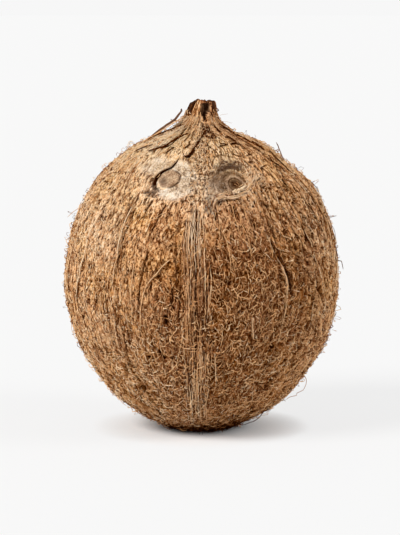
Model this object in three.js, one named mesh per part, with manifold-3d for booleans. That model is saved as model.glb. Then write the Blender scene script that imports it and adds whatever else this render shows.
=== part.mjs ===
// A ripe coconut with its outer husk pulled off: the fibre-covered nut, with the three seams of the shell,
// two of its germination pores (the "eyes") laid bare, and the broken stub of the husk's stem end on top.
// It grew as one piece, so it is one solid. Millimetres, +Z up, the ridge between the eyes faces -Y. The
// origin is on the ground below the middle of the nut, inside the small flat spot that it stands on.
import * as THREE from "three";
import { mergeVertices } from "three/addons/utils/BufferGeometryUtils.js";
import Module from "manifold-3d";

const wasm = await Module();
wasm.setup();

// ---- Driving dimensions -------------------------------------------------------------------------------
const FOOT_RADIUS = 12; // the flat spot
const NECK_RADIUS = 6.4; // where the stub leaves the body
const NECK_HEIGHT = 131;
const STUB_TOP_RADIUS = 4.7;
const STUB_TOP = 138.0;

// The meridian from the edge of the flat spot to the neck, as radius and height.
const MERIDIAN = [
  [FOOT_RADIUS, 0],
  [23.2, 6.4],
  [35.6, 15.8],
  [44.4, 27.1],
  [51.0, 39.7],
  [54.9, 53.4],
  [55.8, 67.7],
  [53.7, 81.8],
  [48.5, 95.0],
  [40.8, 106.9],
  [30.5, 116.7],
  [22.3, 121.3],
  [14.6, 124.3],
  [9.4, 127.4],
  [NECK_RADIUS, NECK_HEIGHT],
];

const LOBE_HEIGHT = 1.1; // how far the three rounded corners of the cross-section swell
const SEAM_HEIGHT = 0.9; // the soft raised seam on each corner
const SEAM_HALF_WIDTH = 8;
const SEAM_TOP = 104; // the front seam runs out below the eyes
// The seam and a corner stand proud in front and a hollow side lies behind, so the axis sits a little back.
const AXIS_Y = LOBE_HEIGHT + SEAM_HEIGHT / 2;

// The two pores, each in a shallow hollow with a low plug in it. Sizes are half-widths across and down, and
// a plug can sit a little to the +X side of the middle of its hollow.
const EYES = [
  {
    azimuth: -18.6,
    height: 107.8,
    hollow: [8.4, 7.2],
    depth: 1.3,
    plug: [4.7, 4.5],
    plugAside: 0,
    plugRise: 0.9,
  },
  {
    azimuth: 17.4,
    height: 106.8,
    hollow: [9.8, 7.8],
    depth: 2.2,
    plug: [3.9, 3.8],
    plugAside: 1.3,
    plugRise: 1.0,
  },
];
const EYE_SLOPE = 1.42; // length of the leaning meridian there for each millimetre of height
const BRIDGE = { height: 112, rise: 0.9, halfWidth: 3.6, halfLength: 13 }; // the fibre ridge between the eyes

const AROUND = 84; // columns of the surface
const FRONT_CROWDING = 0.35; // how much closer the columns stand in front than behind
const UP = 48; // rows from the flat spot to the neck

// ---- The skin of the nut ------------------------------------------------------------------------------
const degrees = THREE.MathUtils.degToRad;
const bell = (x) => Math.exp(-x * x);
const smooth = (x, from, to) => THREE.MathUtils.smoothstep(x, from, to);

// Angle past the nearest of the three seams, which lie at 0, 120 and 240 degrees.
function pastSeam(azimuth) {
  const third = (2 * Math.PI) / 3;
  return azimuth - third * Math.round(azimuth / third);
}

// A signed angle from -pi to pi.
const wrapped = (a) => Math.atan2(Math.sin(a), Math.cos(a));

function eyeRelief(eye, azimuth, radius, height) {
  const across = radius * wrapped(azimuth - degrees(eye.azimuth));
  const down = (eye.height - height) * EYE_SLOPE;
  const fromHollow = Math.hypot(across / eye.hollow[0], down / eye.hollow[1]);
  const fromPlug = Math.hypot(
    (across - eye.plugAside) / eye.plug[0],
    down / eye.plug[1],
  );
  const hollow = -eye.depth * (1 - smooth(fromHollow, 0.55, 1.15));
  return hollow + eye.plugRise * (1 - smooth(fromPlug, 0.75, 1.1));
}

// How far the skin stands out from the plain meridian, in millimetres.
function relief(azimuth, radius, height) {
  const middle =
    smooth(height, 4, 30) * (1 - smooth(height, 95, NECK_HEIGHT - 6));
  const lobe = LOBE_HEIGHT * Math.cos(3 * azimuth) * middle;
  const front = Math.abs(wrapped(azimuth)) < Math.PI / 3;
  const seamTop = front ? SEAM_TOP : NECK_HEIGHT - 4;
  const seamRuns =
    smooth(height, 2, 16) * (1 - smooth(height, seamTop - 14, seamTop));
  const seam =
    SEAM_HEIGHT *
    bell((radius * pastSeam(azimuth)) / SEAM_HALF_WIDTH) *
    seamRuns;
  const bridge =
    BRIDGE.rise *
    bell((radius * wrapped(azimuth)) / BRIDGE.halfWidth) *
    bell((height - BRIDGE.height) / BRIDGE.halfLength);
  const eyes = EYES.reduce(
    (sum, eye) => sum + eyeRelief(eye, azimuth, radius, height),
    0,
  );
  return lobe + seam + bridge + eyes;
}

// A lathe spins its profile about Y, so everything made on one is turned to stand along Z.
function standing(geometry) {
  return geometry.rotateX(Math.PI / 2);
}

function bodyGeometry() {
  const meridian = new THREE.SplineCurve(
    MERIDIAN.map(([r, z]) => new THREE.Vector2(r, z)),
  );
  const profile = [
    new THREE.Vector2(0, 0),
    ...meridian.getSpacedPoints(UP),
    new THREE.Vector2(0, NECK_HEIGHT),
  ];
  const geometry = standing(new THREE.LatheGeometry(profile, AROUND));
  const place = geometry.getAttribute("position");
  for (let i = 0; i < place.count; i++) {
    const x = place.getX(i);
    const y = place.getY(i);
    const z = place.getZ(i);
    const radius = Math.hypot(x, y);
    const even = Math.atan2(x, -y);
    const azimuth = even - FRONT_CROWDING * Math.sin(even);
    const onFlatEnd = z < 1e-4 || z > NECK_HEIGHT - 1e-4;
    const out = onFlatEnd ? radius : radius + relief(azimuth, radius, z);
    place.setXY(i, out * Math.sin(azimuth), -out * Math.cos(azimuth));
  }
  return geometry;
}

// ---- The stub of the stem end -------------------------------------------------------------------------
const STUB_SIDES = 28;
const STUB_ROOT = NECK_HEIGHT - 4;
const STUB_LEAN = 0.8; // towards +X, from root to top
const STUB_PIT = {
  azimuth: 24,
  height: 134.2,
  halfSize: [1.7, 2.6, 3.0],
  depth: 4.4,
};

// The stub's woody bundles make it ribbed, and it broke off unevenly.
function stubGeometry() {
  const profile = [
    [0, STUB_ROOT],
    [NECK_RADIUS + 1.8, STUB_ROOT],
    [NECK_RADIUS + 0.6, NECK_HEIGHT - 1],
    [NECK_RADIUS - 0.3, NECK_HEIGHT + 1.2],
    [STUB_TOP_RADIUS + 0.6, STUB_TOP - 3.2],
    [STUB_TOP_RADIUS, STUB_TOP],
    [0, STUB_TOP - 1.0],
  ].map(([r, z]) => new THREE.Vector2(r, z));
  const geometry = standing(new THREE.LatheGeometry(profile, STUB_SIDES));
  const place = geometry.getAttribute("position");
  for (let i = 0; i < place.count; i++) {
    const x = place.getX(i);
    const y = place.getY(i);
    const z = place.getZ(i);
    const angle = Math.atan2(x, -y);
    const up = (z - STUB_ROOT) / (STUB_TOP - STUB_ROOT);
    const ribs = 1 + 0.07 * Math.cos(5 * angle + 0.6) * smooth(up, 0.2, 0.8);
    const onRim = z > STUB_TOP - 0.1;
    const ragged = onRim
      ? 0.5 * Math.cos(3 * angle + 1.1) + 0.3 * Math.cos(7 * angle)
      : 0;
    place.setXYZ(i, x * ribs + STUB_LEAN * up, y * ribs, z + ragged);
  }
  return geometry;
}

// The hollow where the core of the stub has rotted out, open to the front.
function stubPitGeometry() {
  const { azimuth, height, halfSize, depth } = STUB_PIT;
  const pit = new THREE.SphereGeometry(1, 16, 12).scale(...halfSize);
  return pit
    .translate(0, -depth, 0)
    .rotateZ(degrees(azimuth))
    .translate(STUB_LEAN / 2, 0, height);
}

// A splinter of husk that has come away beside the stub and still stands on the shoulder.
const SPLINTER_RADIUS = 0.65;
const SPLINTER_PATH = [
  [-22.6, -3.5, 120.2],
  [-19.2, -3.6, 123.4],
  [-14.6, -3.8, 126.8],
  [-10.2, -3.8, 130.0],
  [-7.6, -3.6, 133.4],
];

function splinterGeometry() {
  const section = new THREE.Shape();
  section.absarc(0, 0, SPLINTER_RADIUS, 0, 2 * Math.PI, false);
  const path = new THREE.CatmullRomCurve3(
    SPLINTER_PATH.map((p) => new THREE.Vector3(...p)),
  );
  return new THREE.ExtrudeGeometry(section, {
    extrudePath: path,
    steps: 8,
    curveSegments: 3,
    bevelEnabled: false,
  });
}

// ---- Joining ------------------------------------------------------------------------------------------
function solid(geometry) {
  const bare = geometry.clone();
  bare.deleteAttribute("normal");
  bare.deleteAttribute("uv");
  const merged = mergeVertices(bare, 1e-3);
  return new wasm.Manifold(
    new wasm.Mesh({
      numProp: 3,
      vertProperties: merged.getAttribute("position").array,
      triVerts: new Uint32Array(merged.index.array),
    }),
  );
}

function geometryOf(manifold) {
  const mesh = manifold.getMesh();
  const geometry = new THREE.BufferGeometry();
  geometry.setAttribute(
    "position",
    new THREE.BufferAttribute(mesh.vertProperties, 3),
  );
  geometry.setIndex(new THREE.BufferAttribute(mesh.triVerts, 1));
  geometry.computeVertexNormals();
  return geometry;
}

const nut = solid(bodyGeometry())
  .add(solid(stubGeometry()))
  .subtract(solid(stubPitGeometry()))
  .add(solid(splinterGeometry()));

const husk = new THREE.MeshStandardMaterial({
  color: 0x9a6c45,
  roughness: 0.95,
  metalness: 0,
});

const coconut = new THREE.Mesh(geometryOf(nut), husk);
coconut.name = "coconut";
coconut.position.y = AXIS_Y;

const part = new THREE.Group();
part.add(coconut);

export default part;
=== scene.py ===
import functools
import math

import bpy
import numpy as np
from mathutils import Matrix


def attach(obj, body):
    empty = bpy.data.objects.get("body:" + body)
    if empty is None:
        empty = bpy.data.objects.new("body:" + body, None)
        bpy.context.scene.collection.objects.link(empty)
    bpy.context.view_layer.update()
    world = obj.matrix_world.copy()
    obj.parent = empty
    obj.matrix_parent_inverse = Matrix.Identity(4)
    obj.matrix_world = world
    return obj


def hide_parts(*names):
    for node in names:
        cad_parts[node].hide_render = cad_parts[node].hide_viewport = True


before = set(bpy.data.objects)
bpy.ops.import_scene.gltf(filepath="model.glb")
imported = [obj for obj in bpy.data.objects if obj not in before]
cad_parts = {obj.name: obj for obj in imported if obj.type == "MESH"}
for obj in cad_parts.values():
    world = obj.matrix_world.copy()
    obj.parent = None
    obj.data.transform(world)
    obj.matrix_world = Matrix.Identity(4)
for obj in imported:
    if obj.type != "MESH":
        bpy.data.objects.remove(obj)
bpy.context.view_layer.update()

# A ripe coconut with its outer husk pulled off. Its skin and every fibre on it are meshes laid out on one
# surface: the meridian spun about Z, plus the relief of the seams, the pores and the cracks.
# Lengths are millimetres until mesh_object() turns them into metres. Azimuth is 0 in front (-Y) and grows
# towards +X, and "run" is the distance along the meridian from the edge of the flat spot.
MM = 0.001


# ---- Camera ----
CAMERA_ELEVATION = math.radians(7.0)
CAMERA_DISTANCE = 0.9
AIM = (-0.0002, 0.0, 0.0677)
VIEW_HEIGHT_ANGLE = math.radians(14.17)
SENSOR_HEIGHT = 24.0

camera_data = bpy.data.cameras.new("camera")
camera_data.sensor_fit = "VERTICAL"
camera_data.sensor_height = SENSOR_HEIGHT
camera_data.lens = SENSOR_HEIGHT / 2 / math.tan(VIEW_HEIGHT_ANGLE / 2)
camera_data.clip_end = 100.0
camera = bpy.data.objects.new("camera", camera_data)
camera.location = (
    AIM[0],
    AIM[1] - CAMERA_DISTANCE * math.cos(CAMERA_ELEVATION),
    AIM[2] + CAMERA_DISTANCE * math.sin(CAMERA_ELEVATION),
)
camera.rotation_euler = (math.pi / 2 - CAMERA_ELEVATION, 0, 0)
bpy.context.scene.collection.objects.link(camera)
bpy.context.scene.camera = camera

# ---- The shape of the nut, as in the solid model ----
FOOT_RADIUS = 12.0
NECK_RADIUS = 6.4
NECK_HEIGHT = 131.0
STUB_TOP = 138.0
MERIDIAN = [
    (FOOT_RADIUS, 0), (23.2, 6.4), (35.6, 15.8), (44.4, 27.1), (51.0, 39.7), (54.9, 53.4), (55.8, 67.7),
    (53.7, 81.8), (48.5, 95.0), (40.8, 106.9), (30.5, 116.7), (22.3, 121.3), (14.6, 124.3), (9.4, 127.4),
    (NECK_RADIUS, NECK_HEIGHT),
]
LOBE_HEIGHT = 1.1
SEAM_HEIGHT = 0.9
SEAM_HALF_WIDTH = 8.0
SEAM_TOP = 104.0
SEAM_ANGLE = 2 * math.pi / 3 # from one seam to the next
AXIS_Y = LOBE_HEIGHT + SEAM_HEIGHT / 2
LEFT_EYE = {"azimuth": -18.6, "height": 107.8, "hollow": (8.4, 7.2), "depth": 1.3,
            "plug": (4.7, 4.5), "aside": 0.0, "below": 0.0, "rise": 0.9}
RIGHT_EYE = {"azimuth": 17.4, "height": 106.8, "hollow": (9.8, 7.8), "depth": 2.2,
             "plug": (3.9, 3.8), "aside": 1.9, "below": 1.6, "rise": 1.0}
# The ridge between the eyes.
BRIDGE_HEIGHT = 112.0
BRIDGE_RISE = 0.9
BRIDGE_HALF_WIDTH = 3.6
BRIDGE_HALF_LENGTH = 13


def smooth(x, start, stop):
    """0 at start, 1 at stop, and smooth between them."""
    t = np.clip((np.asarray(x, float) - start) / (stop - start), 0, 1)
    return t * t * (3 - 2 * t)


def window(x, start, full, fading, stop):
    """0 up to start, 1 from full to fading, 0 from stop on, and smooth between them."""
    return smooth(x, start, full) * (1 - smooth(x, fading, stop))


def strongest(*masks):
    """The highest of several masks at each point."""
    return functools.reduce(np.maximum, masks)


def bell(x):
    return np.exp(-np.square(x))


def wrapped(angle):
    return np.arctan2(np.sin(angle), np.cos(angle))


def turn_at(azimuth):
    """Azimuth in degrees, from -180 to 180."""
    return np.degrees(wrapped(azimuth))


def spline(points, count):
    """Evenly timed points on the uniform Catmull-Rom curve through the given points."""
    points = np.asarray(points, float)
    last = len(points) - 1
    t = np.linspace(0, last, count)
    i = np.minimum(t.astype(int), last - 1)
    before, here = points[np.maximum(i - 1, 0)], points[i]
    there, after = points[i + 1], points[np.minimum(i + 2, last)]
    w = (t - i)[:, None]
    leaving, arriving = (there - before) / 2, (after - here) / 2
    cubic = 2 * here - 2 * there + leaving + arriving
    square = -3 * here + 3 * there - 2 * leaving - arriving
    return ((cubic * w + square) * w + leaving) * w + here


MERIDIAN_POINTS = 1500
_curve = spline(MERIDIAN, MERIDIAN_POINTS)
_step = np.diff(_curve, axis=0)
RUNS = np.concatenate([[0], np.cumsum(np.hypot(_step[:, 0], _step[:, 1]))])
RADII, HEIGHTS = _curve[:, 0], _curve[:, 1]
LENGTH = RUNS[-1]
_along = np.gradient(_curve, axis=0)
_along /= np.linalg.norm(_along, axis=1)[:, None]
OUTWARD_RADIUS, OUTWARD_HEIGHT = _along[:, 1], -_along[:, 0]


def radius_at(run):
    return np.interp(run, RUNS, RADII)


def height_at(run):
    return np.interp(run, RUNS, HEIGHTS)


def run_at(height):
    return np.interp(height, HEIGHTS, RUNS)


# Coming down, the fibre leans away from the middle of the front below the eyes, and back towards it near the
# bottom. LEAN is that lean in radians, and DRIFT how far round the nut it has carried the fibre.
LEAN = 0.34 * bell((HEIGHTS - 88) / 20) - 0.28 * bell((HEIGHTS - 34) / 16)
_shift = LEAN[1:] / RADII[1:] * np.diff(RUNS)
DRIFT = np.append(np.cumsum(_shift[::-1])[::-1], 0)


def drift_at(azimuth, run):
    turn = turn_at(azimuth)
    return np.tanh(turn / 24) * bell(turn / 55) * np.interp(run, RUNS, DRIFT)


def eye_offsets(eye, azimuth, run):
    """Millimetres across and up the skin from the middle of an eye's hollow."""
    middle = run_at(eye["height"])
    across = radius_at(run) * wrapped(azimuth - math.radians(eye["azimuth"]))
    return across, run - middle


def plug_offsets(eye, azimuth, run):
    """Millimetres across and up from the middle of an eye's plug, and that distance in plug radii."""
    across, up = eye_offsets(eye, azimuth, run)
    across, up = across - eye["aside"], up + eye["below"]
    return across, up, np.hypot(across / eye["plug"][0], up / eye["plug"][1])


def eye_relief(eye, azimuth, run):
    across, up = eye_offsets(eye, azimuth, run)
    from_hollow = np.hypot(across / eye["hollow"][0], up / eye["hollow"][1])
    from_plug = plug_offsets(eye, azimuth, run)[2]
    hollow = -eye["depth"] * (1 - smooth(from_hollow, 0.55, 1.15))
    return hollow + eye["rise"] * (1 - smooth(from_plug, 0.75, 1.1))


def relief(azimuth, run):
    """How far the solid's skin stands out from the plain meridian."""
    radius, height = radius_at(run), height_at(run)
    lobe = LOBE_HEIGHT * np.cos(3 * azimuth) * window(height, 4, 30, 95, NECK_HEIGHT - 6)
    past_seam = azimuth - SEAM_ANGLE * np.round(azimuth / SEAM_ANGLE)
    in_front = np.abs(wrapped(azimuth)) < SEAM_ANGLE / 2
    seam_top = np.where(in_front, SEAM_TOP, NECK_HEIGHT - 4)
    seam = bell(radius * past_seam / SEAM_HALF_WIDTH) * window(height, 2, 16, seam_top - 14, seam_top)
    bridge = bell(radius * wrapped(azimuth) / BRIDGE_HALF_WIDTH)
    bridge *= bell((height - BRIDGE_HEIGHT) / BRIDGE_HALF_LENGTH)
    eyes = eye_relief(LEFT_EYE, azimuth, run) + eye_relief(RIGHT_EYE, azimuth, run)
    return lobe + SEAM_HEIGHT * seam + BRIDGE_RISE * bridge + eyes


def noise(azimuth, run, around, along, seed):
    """Smooth value noise from 0 to 1, with the given number of cells round and up the nut."""
    lattice = np.random.default_rng(seed).random((along + 2, around))
    x = np.asarray(azimuth) / (2 * math.pi) % 1.0 * around
    y = np.clip(np.asarray(run) / LENGTH, 0, 1) * along
    i, j = np.floor(x).astype(int), np.floor(y).astype(int)
    fx, fy = x - i, y - j
    fx, fy = fx * fx * (3 - 2 * fx), fy * fy * (3 - 2 * fy)
    i, k = i % around, (i + 1) % around
    low = lattice[j, i] * (1 - fx) + lattice[j, k] * fx
    high = lattice[j + 1, i] * (1 - fx) + lattice[j + 1, k] * fx
    return low * (1 - fy) + high * fy


def matted_at(azimuth, run):
    """0 where the fibre lies combed and pressed flat, 1 where it is a curly mat."""
    turn, height = turn_at(azimuth), height_at(run)
    wander = 22 * (noise(azimuth, run, 9, 6, 21) - 0.5)
    middle = window(turn, -40, 12, 38, 60)
    front = 0.25 + 0.75 * (1 - smooth(np.abs(turn), 32, 56))
    low = 0.55 + 0.45 * smooth(height, 10, 28)
    return (1 - smooth(height + wander, 30 + 38 * middle, 66 + 28 * middle)) * front * low


def clump_at(azimuth, run):
    """Height of the clots that the fibre is matted into, from 0 to 1."""
    return 0.45 * noise(azimuth, run, 110, 62, 26) + 0.55 * noise(azimuth, run, 230, 128, 27)


def lumps(azimuth, run):
    broad = 1.3 * (noise(azimuth, run, 9, 6, 11) - 0.5) + 0.7 * (noise(azimuth, run, 24, 13, 12) - 0.5)
    return broad + 0.8 * matted_at(azimuth, run) * (clump_at(azimuth, run) - 0.5)


def calm_ends(run):
    """1 over most of the nut, fading to 0 at the flat spot and at the neck."""
    return window(run, 1, 14, LENGTH - 5, LENGTH - 1)


# ---- Cracks and seams, as lists of (azimuth in degrees, height) ----
LID_CRACK = [(-14.9, 117.6), (-16.1, 115), (-18.6, 112.4), (-22.4, 111.1), (-25.4, 109.9), (-27, 108.2),
             (-27.2, 106.2), (-25.9, 104.4), (-23.8, 103.3)]
# The other cracks, folds and holes: path, depth and half-width.
CRACKS = [
    ([(0.5, 123), (-4, 120.1), (-6.4, 117.6), (-8.8, 116), (-12.6, 116.3)], 1.6, 0.65),
    ([(-46.6, 128.4), (-63.5, 127.4), (-74, 126), (-80.8, 123.4), (-76, 121)], 2.4, 0.9),
    ([(-38, 128.4), (-35.5, 125.5), (-30.5, 122.4), (-31.8, 119.9), (-38.6, 119.2),
      (-45.5, 118.2)], 2.2, 0.85),
    ([(-24.8, 119.6), (-29.6, 117)], 1.3, 0.6),
    ([(-9.2, 121), (-15, 119)], 1.2, 0.5),
    ([(-9.9, 129.7), (-12.1, 125.8), (-11.6, 122.2)], 0.8, 0.35),
    ([(-20.1, 129.3), (-24, 127.4), (-24.6, 125)], 0.9, 0.4),
    ([(-17.4, 124.4), (-18.4, 121.4)], 1, 0.4),
    ([(54, 129.4), (57.7, 125.9), (55.2, 123.8)], 2.4, 0.85),
    ([(57.6, 124), (55.1, 121.7), (55.5, 119.6)], 2.4, 0.95),
    ([(51.6, 120), (56.6, 117.9), (58.5, 115.2)], 2.2, 0.9),
    ([(57, 115.8), (59.3, 113.2), (58.4, 109.6)], 1.9, 0.8),
    ([(56.8, 110.6), (55.6, 104.2), (53.6, 98.6)], 1.3, 0.5),
    ([(34, 127.6), (36, 124.6)], 1.6, 0.6),
    ([(38, 123.4), (40, 121.2)], 1.6, 0.6),
    ([(17.8, 119.8), (27.5, 120.5)], 1.4, 0.6),
    ([(28.5, 120.2), (37, 120.6), (42, 119.6)], 1.4, 0.6),
    ([(67.1, 121.8), (69.2, 117), (69, 111)], 1.6, 0.7),
    ([(6.9, 98.9), (10.2, 99.6), (14.3, 99.7), (20.4, 99.9)], 0.8, 0.4),
    ([(21, 102.9), (22, 102.7)], 1.4, 0.5),
    ([(16.4, 101.8), (17.4, 101.8)], 1.2, 0.45),
    ([(64, 117), (69, 109), (72, 98), (74, 86)], 1.2, 0.5),
    ([(-61, 112), (-66, 104), (-69, 97)], 1, 0.5),
    ([(-16, 98.9), (-18.9, 93.9), (-20.5, 89.6), (-23, 85)], 0.9, 0.35),
    ([(-36.4, 99.3), (-35.9, 94.8), (-38.5, 91), (-41.8, 86.6), (-42, 79.5)], 0.9, 0.4),
    ([(-24.1, 99.7), (-26.9, 95.1)], 1, 0.4),
    ([(-34.6, 88.6), (-35.9, 81.5), (-37.4, 72.7)], 1.1, 0.45),
    ([(-21.8, 81.5), (-23.3, 76.1), (-24.9, 68.9), (-26.2, 60.9), (-27, 50)], 0.9, 0.45),
    ([(-8.1, 81.2), (-7.6, 71.6), (-8, 61.7), (-9, 52.7)], 0.5, 0.4),
    ([(-11.1, 66.5), (-11.6, 58.6)], 0.7, 0.45),
    ([(-14.4, 55.6), (-13.3, 51.8)], 2.2, 0.8),
    ([(-18.6, 40.6), (-16, 36.8)], 1.9, 0.75),
    ([(-24.4, 37.8), (-23.9, 36.6)], 2, 0.8),
    ([(-17.8, 70.9), (-16.9, 70)], 1.8, 0.8),
    ([(-9.8, 89.4), (-9.4, 88.2)], 0.8, 0.5),
    ([(-35.2, 49.9), (-36.2, 37.1), (-35.1, 28.4), (-32.5, 19.4), (-28.9, 13.4)], 1.2, 0.6),
    ([(-56.6, 30.4), (-56.1, 21.7), (-44.1, 15.1), (-36.4, 10.9)], 1, 0.5),
    ([(-42.5, 47.2), (-41.8, 37.8), (-40.2, 27.9)], 1, 0.5),
    ([(31.4, 85), (32.5, 80.3), (34.5, 75.4), (37.2, 71.2), (38.2, 66.8), (39.2, 60.7)], 1.4, 0.5),
    ([(52.4, 94.6), (52.1, 87.5), (53.1, 83.4), (55.6, 77.7), (56.5, 70.3), (58.9, 61.9),
      (62.4, 54.8)], 1.6, 0.6),
    ([(49.6, 97.4), (54, 92.4), (58, 88.6)], 1.2, 0.5),
    ([(67.5, 101.5), (69.9, 97.4)], 1.6, 0.6),
    ([(31.5, 99.6), (34.5, 95.6)], 1.5, 0.6),
    ([(22.6, 93.1), (25.8, 89.1)], 0.9, 0.4),
    ([(7.8, 88), (6.2, 82.1), (6.1, 76.7)], 0.5, 0.4),
    ([(4.1, 76.7), (3.2, 67.6), (2.1, 61.7)], 0.9, 0.45),
    ([(50.1, 74.1), (50.1, 64.7)], 1.3, 0.5),
    ([(64.9, 69.3), (66, 61.1)], 1.2, 0.5),
    ([(70.1, 45.9), (69.1, 39.6), (71.5, 35.1)], 1.6, 0.6),
    ([(33.4, 42.3), (32.8, 38.5)], 2, 0.7),
    ([(40.2, 30.1), (39, 24.9), (37.5, 21.4)], 1.4, 0.6),
    ([(11, 68.6), (11.3, 67.4)], 1.8, 0.7),
]
SEAM_LINE = [(-1.6, 99), (-2, 85), (-1.6, 62), (-2.2, 37), (-2.6, 20), (-3.4, 6)]
PATH_REACH = 7.0 # a path marks the skin no further away than this
FAR = 1e9 # and reports this distance beyond it
# The noise whose level lines are the long creases of the flanks: cells round, cells up and seed.
ROPES = (112, 6, 44)


def path_on_skin(points, count):
    """A smooth path through (azimuth in degrees, height) points, as azimuths and runs."""
    smooth_points = spline(points, count)
    return np.radians(smooth_points[:, 0]), run_at(smooth_points[:, 1])


def from_path(azimuth, run, points, count=14):
    """Distance in millimetres to a path, the side it is on, and how far along the path it is. Whatever is
    well outside the path's own patch of skin counts as far away."""
    path_azimuth, path_run = path_on_skin(points, count)
    middle = (path_azimuth.min() + path_azimuth.max()) / 2
    half = np.ptp(path_azimuth) / 2 + PATH_REACH / radius_at(path_run).min()
    near = np.abs(wrapped(azimuth - middle)) < half
    near &= (run > path_run.min() - PATH_REACH) & (run < path_run.max() + PATH_REACH)
    far = np.full(np.shape(azimuth), FAR)
    whole_side, whole_along = np.zeros_like(far), np.zeros_like(far)
    azimuth, run = azimuth[near], run[near]
    best = np.full(np.shape(azimuth), FAR)
    side, along = np.zeros_like(best), np.zeros_like(best)
    for k in range(count - 1):
        radius = radius_at((path_run[k] + path_run[k + 1]) / 2)
        dx = radius * (path_azimuth[k + 1] - path_azimuth[k])
        dy = path_run[k + 1] - path_run[k]
        x = radius * wrapped(azimuth - path_azimuth[k])
        y = run - path_run[k]
        t = np.clip((x * dx + y * dy) / (dx * dx + dy * dy), 0, 1)
        distance = np.hypot(x - t * dx, y - t * dy)
        closer = distance < best
        best = np.where(closer, distance, best)
        side = np.where(closer, np.sign(dx * y - dy * x), side)
        along = np.where(closer, (k + t) / (count - 1), along)
    far[near], whole_side[near], whole_along[near] = best, side, along
    return far, whole_side, whole_along


def folds(azimuth, run):
    """Relief of the long folds, cracks and holes, which the fibre follows too, and the shade painted into
    them and round their edges.
    """
    swept = azimuth - drift_at(azimuth, run)
    turn, height = turn_at(azimuth), height_at(run)
    flank = smooth(np.abs(turn), 22, 46) * (1 - woody_at(azimuth, run)) * calm_ends(run)
    right = smooth(turn, 20, 45)
    high = right * smooth(height, 50, 75)
    left = smooth(height, 55, 85) * (1 - smooth(turn, -10, 20))
    slope = noise(swept + 0.012, run, *ROPES) - noise(swept - 0.012, run, *ROPES)
    rope = 1 - (1 - np.abs(2 * noise(swept, run, *ROPES) - 1)) * smooth(np.abs(slope), 0.03, 0.12)
    form = 0.6 * (noise(swept, run, 130, 7, 31) - 0.5) * calm_ends(run) * (1 - 0.5 * left)
    form += flank * (1 + 1.1 * right - 0.6 * left) * (1.3 * rope - 0.4)
    crack_shade = (0.8 + 0.15 * high - 0.35 * left) * flank * (1 - smooth(rope, 0.0, 0.13 + 0.09 * high))
    ragged = 0.6 + 0.8 * noise(azimuth, run, 260, 120, 34)
    for points, depth, half in CRACKS:
        distance, _, along = from_path(azimuth, run, points)
        ends = window(along, 0, 0.12, 0.88, 1)
        deep = bell(distance / (half * ragged)) * ends
        halo = bell(distance / (3 * half)) * ends
        form += 0.35 * depth * bell(distance / (2.6 * half)) * ends - 1.35 * depth * deep
        dark = (0.92 * smooth(deep, 0.3, 0.75) + 0.22 * halo).clip(0, 0.92)
        crack_shade = np.maximum(crack_shade, dark * min(depth / 1.3, 1))
    return form, crack_shade


def unbroken_skin(azimuth, run):
    return relief(azimuth, run) + lumps(azimuth, run) * calm_ends(run)


def broad_skin(azimuth, run):
    return unbroken_skin(azimuth, run) + folds(azimuth, run)[0]


def lie(azimuth, run, lift, form=broad_skin):
    """Points on the nut, lifted off its skin, and the directions that point out of it there."""
    run = np.clip(run, 0, LENGTH)
    out_radius = np.interp(run, RUNS, OUTWARD_RADIUS)
    out_height = np.interp(run, RUNS, OUTWARD_HEIGHT)
    radius = radius_at(run) + form(azimuth, run) + lift * out_radius
    height = height_at(run) + lift * out_height
    points = np.stack([radius * np.sin(azimuth), AXIS_Y - radius * np.cos(azimuth), height], -1)
    outward = np.stack([out_radius * np.sin(azimuth), -out_radius * np.cos(azimuth), out_height], -1)
    return points, outward


# ---- What grows where ----
# Patches of skin: weight, centre in degrees and height, half-size in both, and how soft the edge is.
FELT = [(1, (-14, 107.4), (12.5, 7.2), 0.22), (0.7, (-30, 112.4), (11.5, 3.2), 0.5),
        (0.72, (7.5, 103.6), (6, 4), 0.4)]
# A brow over the right plug, a smudge over that, and a shade round the plug.
STAIN_AND_SHADE = [(1, (19, 111.9), (10.5, 1.5), 0.5), (0.65, (17.4, 113.2), (6.4, 3.2), 0.9),
         (1, (16.2, 107), (11, 5.2), 0.5)]
SHADE = [
    (1.6, (60, 119), (30, 11), 0.5), (-0.9, (-52, 104), (36, 24), 0.6), (0.5, (-20, 75), (14, 18), 0.6),
    (-0.55, (-42, 34), (22, 14), 0.6), (-0.55, (38, 33), (20, 13), 0.6), (0.45, (-16, 84), (14, 18), 0.6),
    (-0.25, (30, 40), (24, 18), 0.6),
]
SKIN_LIGHT = [(0.10, (-0.5, 109), (6, 9), 0.4), (0.12, (-1.4, 82), (5, 26), 0.6)]


def ellipse(azimuth, run, centre, half, soft):
    """1 inside an ellipse given in degrees and millimetres of height, fading out past its edge."""
    across = wrapped(azimuth - math.radians(centre[0])) / math.radians(half[0])
    up = (height_at(run) - centre[1]) / half[1]
    return 1 - smooth(np.hypot(across, up), 1 - soft, 1 + soft)


def weighted(azimuth, run, patches):
    return [weight * ellipse(azimuth, run, *patch) for weight, *patch in patches]


def felt_at(azimuth, run):
    """The pale felted skin round the eyes."""
    wear = 0.9 + 0.6 * (noise(azimuth, run, 160, 70, 45) - 0.45)
    return np.clip(strongest(*weighted(azimuth, run, FELT)) * wear, 0, 1)


def stain_and_shade_at(azimuth, run):
    """The dark grey-brown of the right eye's hollow: a stained brow and smudge, and painted shade round the
    plug.
    """
    wear = 1.05 + 0.9 * (noise(azimuth, run, 130, 60, 49) - 0.6)
    return np.clip(strongest(*weighted(azimuth, run, STAIN_AND_SHADE)) * wear, 0, 1)


def pale_at(azimuth, run):
    """Where the skin is paler: on the left, up to the crown."""
    left = ellipse(azimuth, run, (-34, 109), (14, 6), 0.7)
    upper = window(height_at(run), 78, 98, 108, 117) * (1 - smooth(turn_at(azimuth), -10, 25))
    blotch = noise(azimuth, run, 26, 20, 28) - 0.5
    return np.clip(0.7 * left + 0.5 * upper + 0.9 * blotch, 0, 1)


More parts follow.
